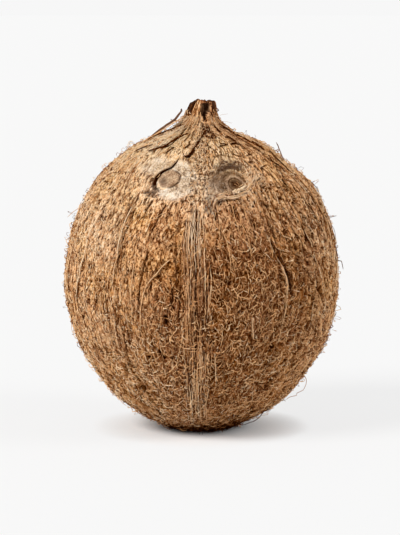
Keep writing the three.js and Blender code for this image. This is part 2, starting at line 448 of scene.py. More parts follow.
def bare_at(azimuth, run):
    """Where no coarse fibre grows: in the eyes and on their felt."""
    return np.maximum(felt_at(azimuth, run), stain_and_shade_at(azimuth, run))


def woody_at(azimuth, run):
    """1 on the crown, where the husk has worn to smooth cracked plates, fading out down the shoulders."""
    wander = 12 * (noise(azimuth, run, 11, 7, 25) - 0.5)
    left = smooth(-np.cos(wrapped(azimuth) + math.radians(120)), -0.2, 1.0)
    return smooth(height_at(run) + wander, 106 - 8 * left, 121 - 10 * left)


def shade_at(azimuth, run):
    """How much darker and redder than elsewhere the fibre is, with a painted contact shadow near the floor.
    Below 0 it is paler.
    """
    height, turn = height_at(run), wrapped(azimuth)
    shade = window(turn, *np.radians((-34, 6, 38, 78))) * (1 - smooth(height, 76, 106))
    shade += sum(weighted(azimuth, run, SHADE))
    shade -= 0.12 * window(-turn, *np.radians((18, 50)), 1.6, 2.2)
    shade += 0.25 * bell((height - 62) / 12) * bell(turn / 0.7)
    shade += 0.15 * window(turn, *np.radians((34, 56)), 1.9, 2.5) * (1 - smooth(height, 60, 90))
    shade += noise(azimuth, run, 14, 10, 23) - 0.45
    # Painted shadow: the underside darkens towards the floor, reaching higher on the right.
    foot = 5.5 * (1 - smooth((height - 0.8) / (4.6 + 3.4 * smooth(turn, 0.0, 0.9)), 0, 1))
    return np.clip(0.6 * shade + foot, -0.5, 5.0)


# ---- Meshes ----
def mesh_object(name, points, triangles, uvs, attributes, material):
    """A smooth mesh from millimetre points, with a UV for each corner and attributes for each point."""
    mesh = bpy.data.meshes.new(name)
    mesh.vertices.add(len(points))
    mesh.vertices.foreach_set("co", np.ascontiguousarray(points * MM, np.float32).ravel())
    mesh.loops.add(triangles.size)
    mesh.loops.foreach_set("vertex_index", np.ascontiguousarray(triangles, np.int32).ravel())
    mesh.polygons.add(len(triangles))
    mesh.polygons.foreach_set("loop_start", np.arange(0, triangles.size, 3, dtype=np.int32))
    mesh.polygons.foreach_set("use_smooth", np.ones(len(triangles), bool))
    layer = mesh.uv_layers.new(name="OFBake")
    layer.data.foreach_set("uv", np.ascontiguousarray(uvs, np.float32).ravel())
    for key, values in attributes.items():
        vector = values.ndim == 2
        attribute = mesh.attributes.new(key, "FLOAT_VECTOR" if vector else "FLOAT", "POINT")
        values = np.ascontiguousarray(values, np.float32).ravel()
        attribute.data.foreach_set("vector" if vector else "value", values)
    mesh.update()
    mesh.validate()
    mesh.materials.append(material)
    piece = bpy.data.objects.new(name, mesh)
    bpy.context.scene.collection.objects.link(piece)
    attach(piece, "root")
    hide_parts("coconut")


def closed_grid(rows, columns, margin=0.0):
    """Triangles and corner UVs of rows x columns points closed round, with one more point at each end. In
    the UVs each column of faces keeps a margin on both sides."""
    i, j = np.meshgrid(np.arange(rows - 1), np.arange(columns), indexing="ij")
    a, b = i * columns + j, i * columns + (j + 1) % columns
    c, d = b + columns, a + columns
    quads = np.stack([a, b, c, a, c, d], -1).reshape(-1, 3)
    u0, u1 = j / columns + margin, (j + 1) / columns - margin
    v0, v1 = (i + 1) / (rows + 1), (i + 2) / (rows + 1)
    corner = [(u0, v0), (u1, v0), (u1, v1), (u0, v0), (u1, v1), (u0, v1)]
    quad_uvs = np.stack([np.stack(pair, -1) for pair in corner], -2).reshape(-1, 3, 2)
    k = np.arange(columns)
    following = (k + 1) % columns
    first = np.full(columns, rows * columns)
    top = (rows - 1) * columns
    low = np.stack([first, following, k], -1)
    high = np.stack([first + 1, top + k, top + following], -1)
    left, middle, right = k / columns + margin, (k + 0.5) / columns, (k + 1) / columns - margin
    bottom_v = np.full(columns, 1 / (rows + 1))
    top_v = 1 - bottom_v
    low_uvs = np.stack([middle, 0 * middle, right, bottom_v, left, bottom_v], -1)
    high_uvs = np.stack([middle, 0 * middle + 1, left, top_v, right, top_v], -1)
    triangles = np.concatenate([quads, low, high])
    uvs = np.concatenate([quad_uvs, low_uvs.reshape(-1, 3, 2), high_uvs.reshape(-1, 3, 2)])
    return triangles, uvs


CROWD_SAMPLES = 4000


def crowded(count, start, stop, crowd):
    """Places from start to stop whose spacing follows one over the crowd function."""
    fine = np.linspace(start, stop, CROWD_SAMPLES)
    density = crowd(fine)
    total = np.concatenate([[0], np.cumsum((density[1:] + density[:-1]) / 2)])
    return np.interp(np.linspace(0, total[-1], count), total, fine)


# ---- Fibres ----
LOWEST_FIBRE = 0.05 # fibre keeps this far above the ground
COLUMN_MARGIN = 0.02
CELL_MARGIN = 0.08
# One over the plastic number and over its square, which spread points evenly over a square.
EVEN_STEPS = (0.7548776662, 0.5698402910)
DENSEST = 1.6 # the most that a scatter's keep function rises to


def fibre_mesh(name, centres, outward, width, thickness, tone, grey):
    """Closed three-sided tapered fibres. centres and outward are fibre x station x 3, and width and
    thickness are half-sizes, fibre x station. The first and last stations are the points."""
    fibres, stations, _ = centres.shape
    tangent = np.gradient(centres, axis=1)
    tangent /= np.linalg.norm(tangent, axis=2)[..., None] + 1e-9
    side = np.cross(tangent, outward)
    side /= np.linalg.norm(side, axis=2)[..., None] + 1e-9
    up = np.cross(side, tangent)
    rings = stations - 2
    angle = np.radians([90, 210, 330])
    middle = slice(1, stations - 1)
    ring = (
        centres[:, middle, None, :]
        + side[:, middle, None, :] * (width[:, middle, None] * np.cos(angle))[..., None]
        + up[:, middle, None, :] * (thickness[:, middle, None] * np.sin(angle))[..., None]
    )
    points = np.concatenate([ring.reshape(fibres, rings * 3, 3), centres[:, :1], centres[:, -1:]], axis=1)
    points[..., 2] = np.maximum(points[..., 2], LOWEST_FIBRE)
    triangles, uvs = closed_grid(rings, 3, COLUMN_MARGIN)
    each = rings * 3 + 2
    triangles = (triangles[None] + each * np.arange(fibres)[:, None, None]).reshape(-1, 3)
    columns = int(math.ceil(math.sqrt(fibres * 2)))
    rows = int(math.ceil(fibres / columns))
    cell = np.arange(fibres)
    corner = np.stack([cell % columns, cell // columns], -1)[:, None, None, :]
    uvs = (corner + CELL_MARGIN + (1 - 2 * CELL_MARGIN) * uvs[None]) / np.array([columns, rows])
    attributes = {}
    for key, values in (("tone", tone), ("grey", grey)):
        values = np.broadcast_to(values, (fibres, stations))
        inner = np.repeat(values[:, middle], 3, axis=1)
        attributes[key] = np.concatenate([inner, values[:, :1], values[:, -1:]], axis=1).ravel()
    mesh_object(name, points.reshape(-1, 3), triangles, uvs.reshape(-1, 3, 2), attributes, COIR)


def scatter(rng, count, keep):
    """Roots spread evenly over the skin, thinned by keep(azimuth, run)."""
    area = np.concatenate([[0], np.cumsum((RADII[1:] + RADII[:-1]) / 2 * np.diff(RUNS))])
    found_azimuth, found_run, found = [], [], 0
    offset = rng.random(2)
    k = 0
    while found < count:
        n = np.arange(k, k + 4 * count)
        k += 4 * count
        u, v = ((offset[axis] + n * EVEN_STEPS[axis]) % 1 for axis in (0, 1))
        azimuth = u * 2 * math.pi - math.pi
        run = np.interp(v * area[-1], area, RUNS)
        chosen = rng.random(len(n)) * DENSEST < keep(azimuth, run)
        found_azimuth.append(azimuth[chosen])
        found_run.append(run[chosen])
        found += int(chosen.sum())
    return np.concatenate(found_azimuth)[:count], np.concatenate(found_run)[:count]


def taper(stations, root=0.25, tip=0.15, power=0.6):
    """Share of a fibre's full size at each station, from its root to its tip."""
    t = np.linspace(0, 1, stations)
    widening = root + (1 - root) * (6 * t) ** power
    narrowing_tip = tip + (1 - tip) * (5 * (1 - t)) ** power
    return np.minimum(widening, narrowing_tip).clip(0, 1)


def creeping(rng, azimuth, run, heading, length, stations, curl, wobble):
    """Paths that creep over the skin from their roots. heading is from straight up, in radians."""
    step = (length / (stations - 1))[:, None]
    turn = curl[:, None] * np.linspace(-0.5, 0.5, stations)[None]
    turn = turn + np.cumsum(rng.normal(0, 1, (len(azimuth), stations)), axis=1) * wobble
    angle = heading[:, None] + turn
    runs = run[:, None] + np.cumsum(np.cos(angle) * step, axis=1) - step * stations / 2
    runs = np.clip(runs, 0, LENGTH)
    sideways = np.cumsum(np.sin(angle) * step / np.maximum(radius_at(runs), 5), axis=1)
    return azimuth[:, None] + sideways - sideways.mean(axis=1)[:, None], runs


# ---- Materials ----
def srgb(red, green, blue):
    channels = np.array([red, green, blue]) / 255
    linear = np.where(channels <= 0.04045, channels / 12.92, ((channels + 0.055) / 1.055) ** 2.4)
    return (*(float(c) for c in linear), 1.0)


# This colour is painted shade: the dark between the fibres and in the cracks.
GAP_SHADE = srgb(50, 16, 0) # the dark between the fibres
COIR_TONES = [
    (0.00, srgb(62, 24, 4)), (0.22, srgb(122, 66, 24)), (0.45, srgb(184, 124, 75)),
    (0.70, srgb(223, 170, 117)), (0.88, srgb(238, 192, 141)), (1.00, srgb(244, 214, 176)),
]
PALE_TONES = [
    (0.00, srgb(78, 36, 8)), (0.25, srgb(150, 98, 54)), (0.50, srgb(208, 158, 113)),
    (0.75, srgb(236, 188, 139)), (1.00, srgb(248, 214, 172)),
]
# Colours of the eyes' felt, of the stain and painted shade, and of the plugs, each over the same mottle.
MOTTLES = {
    "felt": [(0.36, srgb(134, 106, 82)), (0.46, srgb(216, 188, 158)), (0.60, srgb(250, 235, 214))],
    "stain_and_shade": [(0.38, srgb(90, 66, 44)), (0.50, srgb(142, 110, 80)), (0.60, srgb(178, 145, 112))],
    "plug": [(0.38, srgb(132, 100, 76)), (0.50, srgb(186, 152, 122)), (0.60, srgb(210, 180, 148))],
}
GREYS = [(0.0, srgb(60, 50, 44)), (0.5, srgb(142, 122, 102)), (1.0, srgb(222, 206, 182))]
# Sockets of a Mix node by its data type: both inputs, and the output.
MIX_SOCKETS = {"FLOAT": (2, 3, 0), "RGBA": (6, 7, 2)}


class Nodes:
    """A short way of wiring the nodes of a material or a world."""

    def __init__(self, owner):
        owner.use_nodes = True
        self.tree = owner.node_tree

    def add(self, kind, settings=None, **inputs):
        node = self.tree.nodes.new(kind)
        for key, value in (settings or {}).items():
            setattr(node, key, value)
        for key, value in inputs.items():
            self.feed(node.inputs[key.replace("_", " ")], value)
        return node

    def feed(self, socket, value):
        if isinstance(value, bpy.types.NodeSocket):
            self.tree.links.new(value, socket)
        else:
            socket.default_value = value

    def attribute(self, name, output="Fac"):
        return self.add("ShaderNodeAttribute", {"attribute_name": name}).outputs[output]

    def maths(self, operation, first, second=0.0, third=0.0):
        node = self.add("ShaderNodeMath", {"operation": operation})
        for socket, value in zip(node.inputs, (first, second, third)):
            self.feed(socket, value)
        return node.outputs[0]

    def scaled(self, value, factor, added=0.0):
        return self.maths("MULTIPLY_ADD", value, factor, added)

    def noise(self, scale, detail=3.0, place=None):
        place = place or self.add("ShaderNodeTexCoord").outputs["Object"]
        return self.add("ShaderNodeTexNoise", Vector=place, Scale=scale, Detail=detail).outputs["Fac"]

    def step(self, value, start, stop):
        """0 up to start, 1 from stop on, and smooth between them."""
        node = self.add("ShaderNodeMapRange", {"interpolation_type": "SMOOTHSTEP"}, Value=value)
        node.inputs["From Min"].default_value = start
        node.inputs["From Max"].default_value = stop
        return node.outputs[0]

    def blend(self, amount, first, second, kind="RGBA"):
        node = self.add("ShaderNodeMix", {"data_type": kind})
        first_socket, second_socket, output = MIX_SOCKETS[kind]
        self.feed(node.inputs[0], amount)
        self.feed(node.inputs[first_socket], first)
        self.feed(node.inputs[second_socket], second)
        return node.outputs[output]

    def ramp(self, value, stops):
        node = self.add("ShaderNodeValToRGB", Fac=value)
        elements = node.color_ramp.elements
        while len(elements) < len(stops):
            elements.new(0.5)
        for element, (position, color) in zip(elements, stops):
            element.position = position
            element.color = color
        return node.outputs["Color"]

    def blend_shaders(self, output, amount, first, second):
        """Wire a mix of two shaders to the tree's output node."""
        node = self.add("ShaderNodeMixShader")
        for socket, value in zip(node.inputs, (amount, first, second)):
            self.feed(socket, value)
        self.feed(self.tree.nodes[output].inputs["Surface"], node.outputs[0])


def new_material(name, roughness, gloss=0.0):
    """A material, its nodes, and its shader node with the constants set."""
    material = bpy.data.materials.new(name)
    nodes = Nodes(material)
    shader = nodes.tree.nodes["Principled BSDF"]
    shader.inputs["Roughness"].default_value = roughness
    shader.inputs["Specular IOR Level"].default_value = gloss
    return material, nodes, shader


def dress(nodes, shader, color, height, distance, strength):
    """Give a shader its colour and its bump."""
    bump = nodes.add("ShaderNodeBump", Height=height, Distance=distance, Strength=strength)
    nodes.feed(shader.inputs["Base Color"], color)
    nodes.feed(shader.inputs["Normal"], bump.outputs[0])


def coir_material():
    """Loose and matted fibre: its own tone, mottled along its length, greyer where it is weathered."""
    material, nodes, shader = new_material("coir", 0.9)
    tone = nodes.scaled(nodes.noise(1100, 2.0), 0.40, nodes.attribute("tone"))
    color = nodes.ramp(nodes.maths("SUBTRACT", tone, 0.18), COIR_TONES)
    color = nodes.blend(nodes.attribute("grey"), color, nodes.ramp(tone, GREYS))
    dress(nodes, shader, color, nodes.noise(2500, 2.0), 0.0001, 0.5)
    return material


def skin_material():
    """The felted skin under the fibre: streaked along the meridians where it is combed, clotted elsewhere."""
    material, nodes, shader = new_material("husk_skin", 0.95)
    flow = nodes.attribute("flow", "Vector")
    loose = nodes.attribute("loose")
    woody = nodes.attribute("woody")
    crack_shade = nodes.attribute("crack_shade")
    grain = nodes.blend(loose, nodes.noise(1200, 2.0, flow), nodes.noise(800, 4.0), "FLOAT")
    fine = nodes.blend(loose, nodes.noise(3200, 2.0, flow), nodes.noise(2200, 2.0), "FLOAT")
    # The dark dashes and holes are painted shade between the fibres, pressed in by the bump as well.
    dashes = nodes.step(nodes.noise(1900, 1.0, flow), 0.57, 0.65)
    holes = nodes.step(nodes.noise(900, 2.0), 0.55, 0.66)
    painted_gaps = nodes.maths("MULTIPLY", nodes.blend(loose, dashes, holes, "FLOAT"), nodes.scaled(woody, -0.1, 1.0))
    tone = nodes.scaled(nodes.maths("SUBTRACT", grain, 0.5), 1.5)
    tone = nodes.scaled(nodes.maths("SUBTRACT", fine, 0.5), 0.8, tone)
    tone = nodes.scaled(tone, nodes.scaled(woody, -0.2, 1.0), nodes.attribute("tone"))
    tone = nodes.scaled(nodes.noise(160), 0.4, tone)
    tone = nodes.scaled(painted_gaps, -0.34, tone)
    # The crack mask darkens the skin towards the gap colour as painted shade in the cracks.
    tone = nodes.scaled(crack_shade, -0.45, tone)
    tone = nodes.maths("SUBTRACT", tone, 0.16)
    color = nodes.blend(nodes.attribute("pale"), nodes.ramp(tone, COIR_TONES), nodes.ramp(tone, PALE_TONES))
    color = nodes.blend(nodes.maths("MULTIPLY", painted_gaps, 0.45), color, GAP_SHADE)
    mottle = nodes.scaled(nodes.noise(1500), 0.55, nodes.maths("MULTIPLY", nodes.noise(260), 0.45))
    for name, stops in MOTTLES.items():
        color = nodes.blend(nodes.attribute(name), color, nodes.ramp(mottle, stops))
    color = nodes.blend(crack_shade, color, GAP_SHADE)
    patches = nodes.step(nodes.noise(55, 2.0), 0.36, 0.64)
    hue, saturation = nodes.scaled(patches, 0.003, 0.4985), nodes.scaled(patches, 0.08, 0.96)
    tint = nodes.add("ShaderNodeHueSaturation", Color=color, Hue=hue, Saturation=saturation)
    height = nodes.maths("SUBTRACT", nodes.maths("ADD", grain, nodes.maths("MULTIPLY", fine, 0.6)), painted_gaps)
    dress(nodes, shader, tint.outputs[0], height, 0.0004, 0.9)
    return material


COIR = coir_material()
SKIN = skin_material()

# ---- The skin ----
SKIN_COLUMNS = 640
SKIN_ROWS = (130, 144) # below and above the middle
SKIN_SPLIT = 72.0 # height where the two shells of the skin meet


def plates(azimuth, run, around, along, seed):
    """Cells like cracked bark: how near each point is to its cell's edge, and the cell's own number."""
    rng = np.random.default_rng(seed)
    jitter = rng.random((along, around, 3))
    x = azimuth / (2 * math.pi) % 1.0 * around
    y = np.clip(run / LENGTH, 0, 0.9999) * along
    column, row = np.floor(x).astype(int), np.floor(y).astype(int)
    nearest = np.full(np.shape(x), 9.0)
    second = nearest.copy()
    number = np.zeros_like(nearest)
    for up in (-1, 0, 1):
        for aside in (-1, 0, 1):
            cell_row = np.clip(row + up, 0, along - 1)
            cell = jitter[cell_row, (column + aside) % around]
            distance = np.hypot(column + aside + cell[..., 0] - x, row + up + cell[..., 1] - y)
            closer = distance < nearest
            second = np.where(closer, nearest, np.minimum(second, distance))
            number = np.where(closer, cell[..., 2], number)
            nearest = np.minimum(nearest, distance)
    return 1 - smooth(second - nearest, 0.01, 0.12), number


def skin_details(azimuth, run):
    """The fine relief of the skin, and the shade painted into its cracks and pits."""
    sway = math.radians(2.4) * (noise(azimuth, run, 40, 14, 30) - 0.5)
    swept = azimuth - drift_at(azimuth, run) + sway
    rough = (1 - 0.85 * bare_at(azimuth, run)) * calm_ends(run)
    matted, woody = matted_at(azimuth, run), woody_at(azimuth, run)
    inner = ellipse(azimuth, run, (-16, 84), (12, 16), 0.5)
    # Streaks and grain, with pits, slits and creases between the fibres.
    streaks = noise(swept, run, 300, 50, 32) - 0.5
    grain = noise(swept, run, 700, 190, 35) - 0.5
    form = (0.34 * streaks + (0.25 + 0.25 * matted) * grain) * (1 - 0.7 * woody)
    pits = smooth(noise(swept, run, 520, 110, 33), 0.66, 0.78) * (1 - 0.7 * matted) * (1 - 0.35 * inner)
    slits = 1 - smooth(np.abs(noise(swept, run, 150, 32, 36) - 0.5), 0.0, 0.05)
    slits *= smooth(noise(swept, run, 90, 22, 37), 0.50, 0.66) * (1 - 0.6 * matted)
    creases = 1 - smooth(np.abs(noise(swept, run, 250, 52, 42) - 0.5), 0.0, 0.07)
    creases *= matted * smooth(noise(azimuth, run, 120, 60, 43), 0.35, 0.6)
    dark = strongest(0.9 * pits, 0.7 * slits, 0.85 * creases)
    form = (form - 0.85 * dark) * rough * (1 - 0.5 * inner)
    # The pocked ridge between the eyes.
    bridge = ellipse(azimuth, run, (-0.5, 111), (5.5, 12), 0.4)
    form += 1.2 * bridge * (noise(azimuth, run, 420, 150, 46) - 0.5)
    pocks = bridge * smooth(noise(azimuth, run, 500, 150, 47), 0.62, 0.76)
    # The cracked plates of the crown, which lean away from the front.
    lean = azimuth + 0.10 * (noise(azimuth, run, 17, 9, 38) - 0.5) + 0.0016 * run * np.sign(np.sin(azimuth))
    edge, number = plates(lean, run, 58, 30, 39)
    slab = ellipse(azimuth, run, (-42, 121), (36, 10), 0.3)
    edge *= woody * rough * (1 - bridge) * (1 - 0.6 * slab)
    edge *= smooth(noise(azimuth, run, 60, 40, 40), 0.36, 0.52)
    form += woody * rough * 0.5 * (number - 0.5) - edge
    # The notch under the stub's pit.
    rising = smooth(height_at(run), 127.6, NECK_HEIGHT)
    notch = bell((turn_at(azimuth) - 15) / (5 + 10 * rising)) * smooth(rising, 0.0, 0.3)
    form -= 2.2 * notch
    # The crack round the left eye, with one lip raised like a lid.
    distance, side, along = from_path(azimuth, run, LID_CRACK, 30)
    lid = np.where(side < 0, 1.3 * bell(distance / 4.5), -0.5 * bell(distance / 2.2))
    split = bell(distance / (0.38 + 0.24 * window(along, 0.3, 0.45, 0.75, 0.95)))
    form += window(along, 0.02, 0.3, 0.9, 1) * (lid - 1.5 * split)
    opened = smooth(split, 0.3, 0.75) * window(along, 0.0, 0.2, 0.97, 1)
    # The groove of the front seam.
    distance, _, along = from_path(azimuth, run, SEAM_LINE)
    groove = bell(distance / 0.56) * window(along, 0, 0.1, 0.93, 1)
    groove *= 0.6 + 0.8 * noise(azimuth, run, 9, 26, 56)
    form -= groove
    # Painted shade: the pits, slits, creases, pocks, plate edges, folds, the notch under the stub, the open
    # lid crack and the seam groove are all darkened here.
    crack_shade = strongest(0.85 * dark * rough, 0.7 * pocks, 0.9 * edge, folds(azimuth, run)[1],
                      0.95 * smooth(notch, 0.25, 0.6), opened, 0.9 * smooth(groove, 0.3, 0.8))
    return form, crack_shade


# Raised edges of felt and straw: path, how high, half-width, and how much paler than the skin they are.
STRAW_RIM = [(5.6, 96.4), (6.6, 99.1), (8.4, 100.6), (12.5, 101.4), (16.5, 100.9), (21, 101.7), (25.4, 102.9),
             (28.2, 104.9), (32.6, 107.4), (36.5, 109.7)]
CREAM_LEDGE = [(17, 102.2), (19.2, 102.7), (21.4, 103.1), (24.4, 104.1), (27, 105.2)]
CREAM_CRESCENT = [(-24.8, 106.6), (-23.4, 104.8), (-20.4, 103.8), (-17, 104.2)]
RIDGES = [(STRAW_RIM, 0.6, 0.9, 0.5), (CREAM_LEDGE, 1.2, 0.6, 1), (CREAM_CRESCENT, 0.7, 0.9, 1.2)]


def left_eye_details(azimuth, run):
    """The ring round the left plug and painted shade from the lid and crescent: relief, and masks of crack
    and plug.
    """
    across, up, reach = plug_offsets(LEFT_EYE, azimuth, run)
    open_side = smooth(np.cos(np.arctan2(up, across) + 0.35), -0.45, 0.2)
    ring = bell((reach - 0.97) / 0.07) * open_side
    dapple = smooth(noise(azimuth, run, 420, 150, 55), 0.30, 0.66)
    # Painted shadow: the lid's shadow on the lower left of the plug, and shade left of the lid crack and
    # under the crescent.
    crack_shade = strongest(0.95 * ring, 0.72 * bell(np.hypot(across + 1.9, up + 1.3) / 2.0),
                      0.34 * dapple * ellipse(azimuth, run, (-29.6, 107.2), (3.4, 3.4), 0.6),
                      0.55 * dapple * ellipse(azimuth, run, (-26.2, 102.9), (3.8, 1.8), 0.6))
    return 0.2 * bell((reach - 0.84) / 0.1) - 0.4 * ring, crack_shade, 1 - smooth(reach, 0.9, 1.02)


def right_eye_details(azimuth, run):
    """The arcs over the right plug, and its rings and hole: relief, and masks of crack and plug."""
    across, up, reach = plug_offsets(RIGHT_EYE, azimuth, run)
    reach = reach + 0.12 * (noise(azimuth, run, 90, 30, 41) - 0.5)
    over = smooth(up / (np.hypot(across, up) + 0.1), -0.35, 0.3)
    arcs = over * (0.65 * bell((reach - 1.38) / 0.16) + 0.5 * bell((reach - 2.3) / 0.22))
    rings = 0.85 * bell((reach - 0.76) / 0.09)
    middle = bell(np.hypot(across / 3.1, up / 2.2))
    form = -0.5 * arcs + 0.5 * over * bell((reach - 1.82) / 0.18) - 0.4 * rings - 0.6 * middle
    form += 0.25 * (bell((reach - 0.55) / 0.1) + bell((reach - 0.97) / 0.1))
    light = np.maximum(bell((reach - 0.98) / 0.14), bell((reach - 1.85) / 0.2))
    # Painted shade: the grooves of the arcs and rings, the hole, and the hollow left of and round the plug,
    # but not its ridges.
    crack_shade = strongest(arcs, rings, 0.95 * middle,
                      0.42 * ellipse(azimuth, run, (11.6, 106.2), (3.4, 4.2), 0.6),
                      0.36 * ellipse(azimuth, run, (17.2, 107.6), (8, 4.6), 0.5) * (1 - light))
    return form, crack_shade, 0.9 * bell((reach - 0.98) / 0.12)


def eye_details(azimuth, run):
    """Both eyes and the raised edges round them: extra relief, and masks of crack, plug and felt."""
    forms, cracks, plugs = zip(left_eye_details(azimuth, run), right_eye_details(azimuth, run))
    form, crack_shade, plug = sum(forms), strongest(*cracks), strongest(*plugs)
    felt = np.zeros_like(plug)
    torn = 0.4 + 1.1 * noise(azimuth, run, 300, 110, 48)
    for path, high, half, paler in RIDGES:
        distance, _, along = from_path(azimuth, run, path, 30)
        ridge = bell((distance / (half * torn)) ** 2) * window(along, 0, 0.1, 0.88, 1)
        form += high * torn * ridge
        felt = np.maximum(felt, paler * ridge)
        crack_shade = crack_shade * (1 - ridge)
    return form, np.clip(crack_shade, 0, 1), plug, felt


def front_crowd(azimuth):
    return 1 + 0.9 * bell((azimuth / math.radians(42)) ** 2) + 0.7 * bell(azimuth / 1.5)


def eye_crowd(run):
    low, high = run_at(99), run_at(121)
    return 0.75 + 0.55 * window(run, low - 8, low, high, high + 8)


def make_skin():
    """The skin, as a lower and an upper closed shell that meet at one ring of points."""
    azimuths = crowded(SKIN_COLUMNS + 1, -math.pi, math.pi, front_crowd)[:-1]
    middle = run_at(SKIN_SPLIT)
    low_runs = crowded(SKIN_ROWS[0], 0, middle, eye_crowd)
    high_runs = crowded(SKIN_ROWS[1], middle, LENGTH, eye_crowd)
    foot, crown = (0, AXIS_Y, 0), (0, AXIS_Y, NECK_HEIGHT)
    below, above = (0, AXIS_Y, SKIN_SPLIT - 5), (0, AXIS_Y, SKIN_SPLIT + 5)
    skin_shell("husk_skin_lower", azimuths, low_runs, foot, below)
    skin_shell("husk_skin_upper", azimuths, high_runs, above, crown)


def skin_shell(name, azimuths, runs, start, end):
    run, azimuth = np.meshgrid(runs, azimuths, indexing="ij")
    fine, crack_shade = skin_details(azimuth, run)
    eyes, eye_crack, plug, ridge = eye_details(azimuth, run)
    points, _ = lie(azimuth, run, 0.0, lambda a, r: broad_skin(a, r) + fine + eyes)
    points[..., 2] = np.maximum(points[..., 2], 0)
    along = azimuth - drift_at(azimuth, run)
    flow = np.stack([56 * np.sin(along), 56 * np.cos(along), 0.55 * run], -1) * MM
    loose, woody = matted_at(azimuth, run), woody_at(azimuth, run)
    # Painted shade: the skin is darker under the fibre mat and in the hollows between its clots.
    hole = loose * smooth(clump_at(azimuth, run), 0.50, 0.34)
    tone = 0.725 - 0.24 * loose - 0.22 * shade_at(azimuth, run) + 0.22 * woody - 0.08 * hole
    masks = {
        "tone": tone + sum(weighted(azimuth, run, SKIN_LIGHT)),
        "loose": 0.6 * loose,
        "woody": woody,
        "pale": pale_at(azimuth, run) * (1 - 0.8 * loose) * (1 - 0.6 * woody),
        "felt": np.maximum(felt_at(azimuth, run), ridge),
        "stain_and_shade": stain_and_shade_at(azimuth, run) * (1 - ridge),
        "plug": plug,
        "crack_shade": np.maximum(crack_shade * (1 - ridge), eye_crack),
    }
    masks = {key: np.append(values.ravel(), [0.5, 0.5]) for key, values in masks.items()}
    masks["flow"] = np.concatenate([flow.reshape(-1, 3), np.zeros((2, 3))])
    triangles, uvs = closed_grid(len(runs), len(azimuths))
    points = np.concatenate([points.reshape(-1, 3), [start, end]])
    mesh_object(name, points, triangles, uvs, masks, SKIN)


make_skin()


# ---- The fibre coat ----
def fibre_tone(rng, azimuth, run, middle, spread, dark):
    """A tone for each fibre round a middle one, with a share of dark fibres that also stand in for painted
    shade between fibres.
    """
    lit = middle - 0.20 * shade_at(azimuth, run) - 0.08 * matted_at(azimuth, run)
    lit += rng.normal(0, spread, len(azimuth))
    gloom = rng.uniform(0.0, 0.30, len(azimuth))
    return np.clip(np.where(rng.random(len(azimuth)) < dark, gloom, lit), 0.0, 0.98)


def narrowing(run, full=40):
    """1 where the nut is at least as thick as the given radius, less where the meridians crowd together."""
    return np.clip(radius_at(run) / full, 0.35, 1)


def open_at(azimuth, run):
    """Where coarse fibre finds room: not in the eyes, nor across the folds and cracks."""
    return (1 - bare_at(azimuth, run)) * (1 - 0.85 * folds(azimuth, run)[1])


def combed(azimuth, run):
    streak = 0.4 + 0.9 * smooth(noise(azimuth, run, 120, 15, 29), 0.35, 0.6)
    left = smooth(height_at(run), 50, 84) * (1 - smooth(turn_at(azimuth), -5, 25))
    cover = streak * (1.1 - 0.5 * matted_at(azimuth, run)) * (1 - 0.72 * left)
    return open_at(azimuth, run) * cover * (1 - 0.97 * woody_at(azimuth, run))


def matted(azimuth, run):
    clots = 0.75 + 0.4 * smooth(clump_at(azimuth, run), 0.35, 0.6)
    return open_at(azimuth, run) * (0.10 + matted_at(azimuth, run)) * clots


def crown(azimuth, run):
    return (1 - bare_at(azimuth, run)) * woody_at(azimuth, run)


def below_crown(azimuth, run):
    return (1 - bare_at(azimuth, run)) * (1 - 0.85 * woody_at(azimuth, run))


# Each layer of the coat. Sizes are millimetres, with widths and thicknesses as half-sizes, and angles are
# radians. "heading" is the spread about the meridian, "curl" and "wobble" how much a fibre bends and kinks,
# "rise" how far its middle stands off the skin, and "dark" the share of dark fibres, which also stand in for
# painted shade between the fibres.
COAT = {
    "husk_flakes": dict(
        where=crown, count=80, stations=7, length=(3, 8), width=(0.25, 0.6), thickness=(0.10, 0.2),
        heading=0.16, curl=0.3, wobble=0.08, rise=0.1, tone=0.74, spread=0.10, dark=0.05),
    "combed_bundles": dict(
        where=combed, count=1500, stations=6, length=(2, 6), width=(0.12, 0.22), thickness=(0.11, 0.2),
        heading=0.18, curl=0.4, wobble=0.10, rise=0.12, tone=0.78, spread=0.12, dark=0.06),
    "combed_fibres": dict(
        where=combed, count=15000, stations=4, length=(1.0, 3.2), width=(0.08, 0.14), thickness=(0.10, 0.17),
        heading=0.26, curl=0.6, wobble=0.18, rise=0.28, tone=0.765, spread=0.17, dark=0.34),
    "combed_threads": dict(
        where=combed, count=1350, stations=10, length=(6, 24), width=(0.10, 0.18), thickness=(0.10, 0.18),
        heading=0.06, curl=0.2, wobble=0.04, rise=0.32, tone=0.82, spread=0.15, dark=0.42),
    "matted_fibres": dict(
        where=matted, count=11000, stations=4, length=(1.0, 3.2), width=(0.11, 0.20), thickness=(0.11, 0.20),
        heading=0.60, curl=0.8, wobble=0.22, rise=0.45, tone=0.67, spread=0.28, dark=0.45),
    "matted_curls": dict(
        where=matted, count=5500, stations=5, length=(1.6, 4.6), width=(0.13, 0.20), thickness=(0.12, 0.18),
        heading=0.85, curl=0.75, wobble=0.20, rise=0.66, tone=0.93, spread=0.13, dark=0.06),
    "loose_hairs": dict(
        where=below_crown, count=1500, stations=4, length=(0.8, 2.6), width=(0.08, 0.14),
        thickness=(0.08, 0.14), heading=1.0, curl=0.3, wobble=0.10, rise=1.2, tone=0.50, spread=0.18,
        dark=0.25),
}


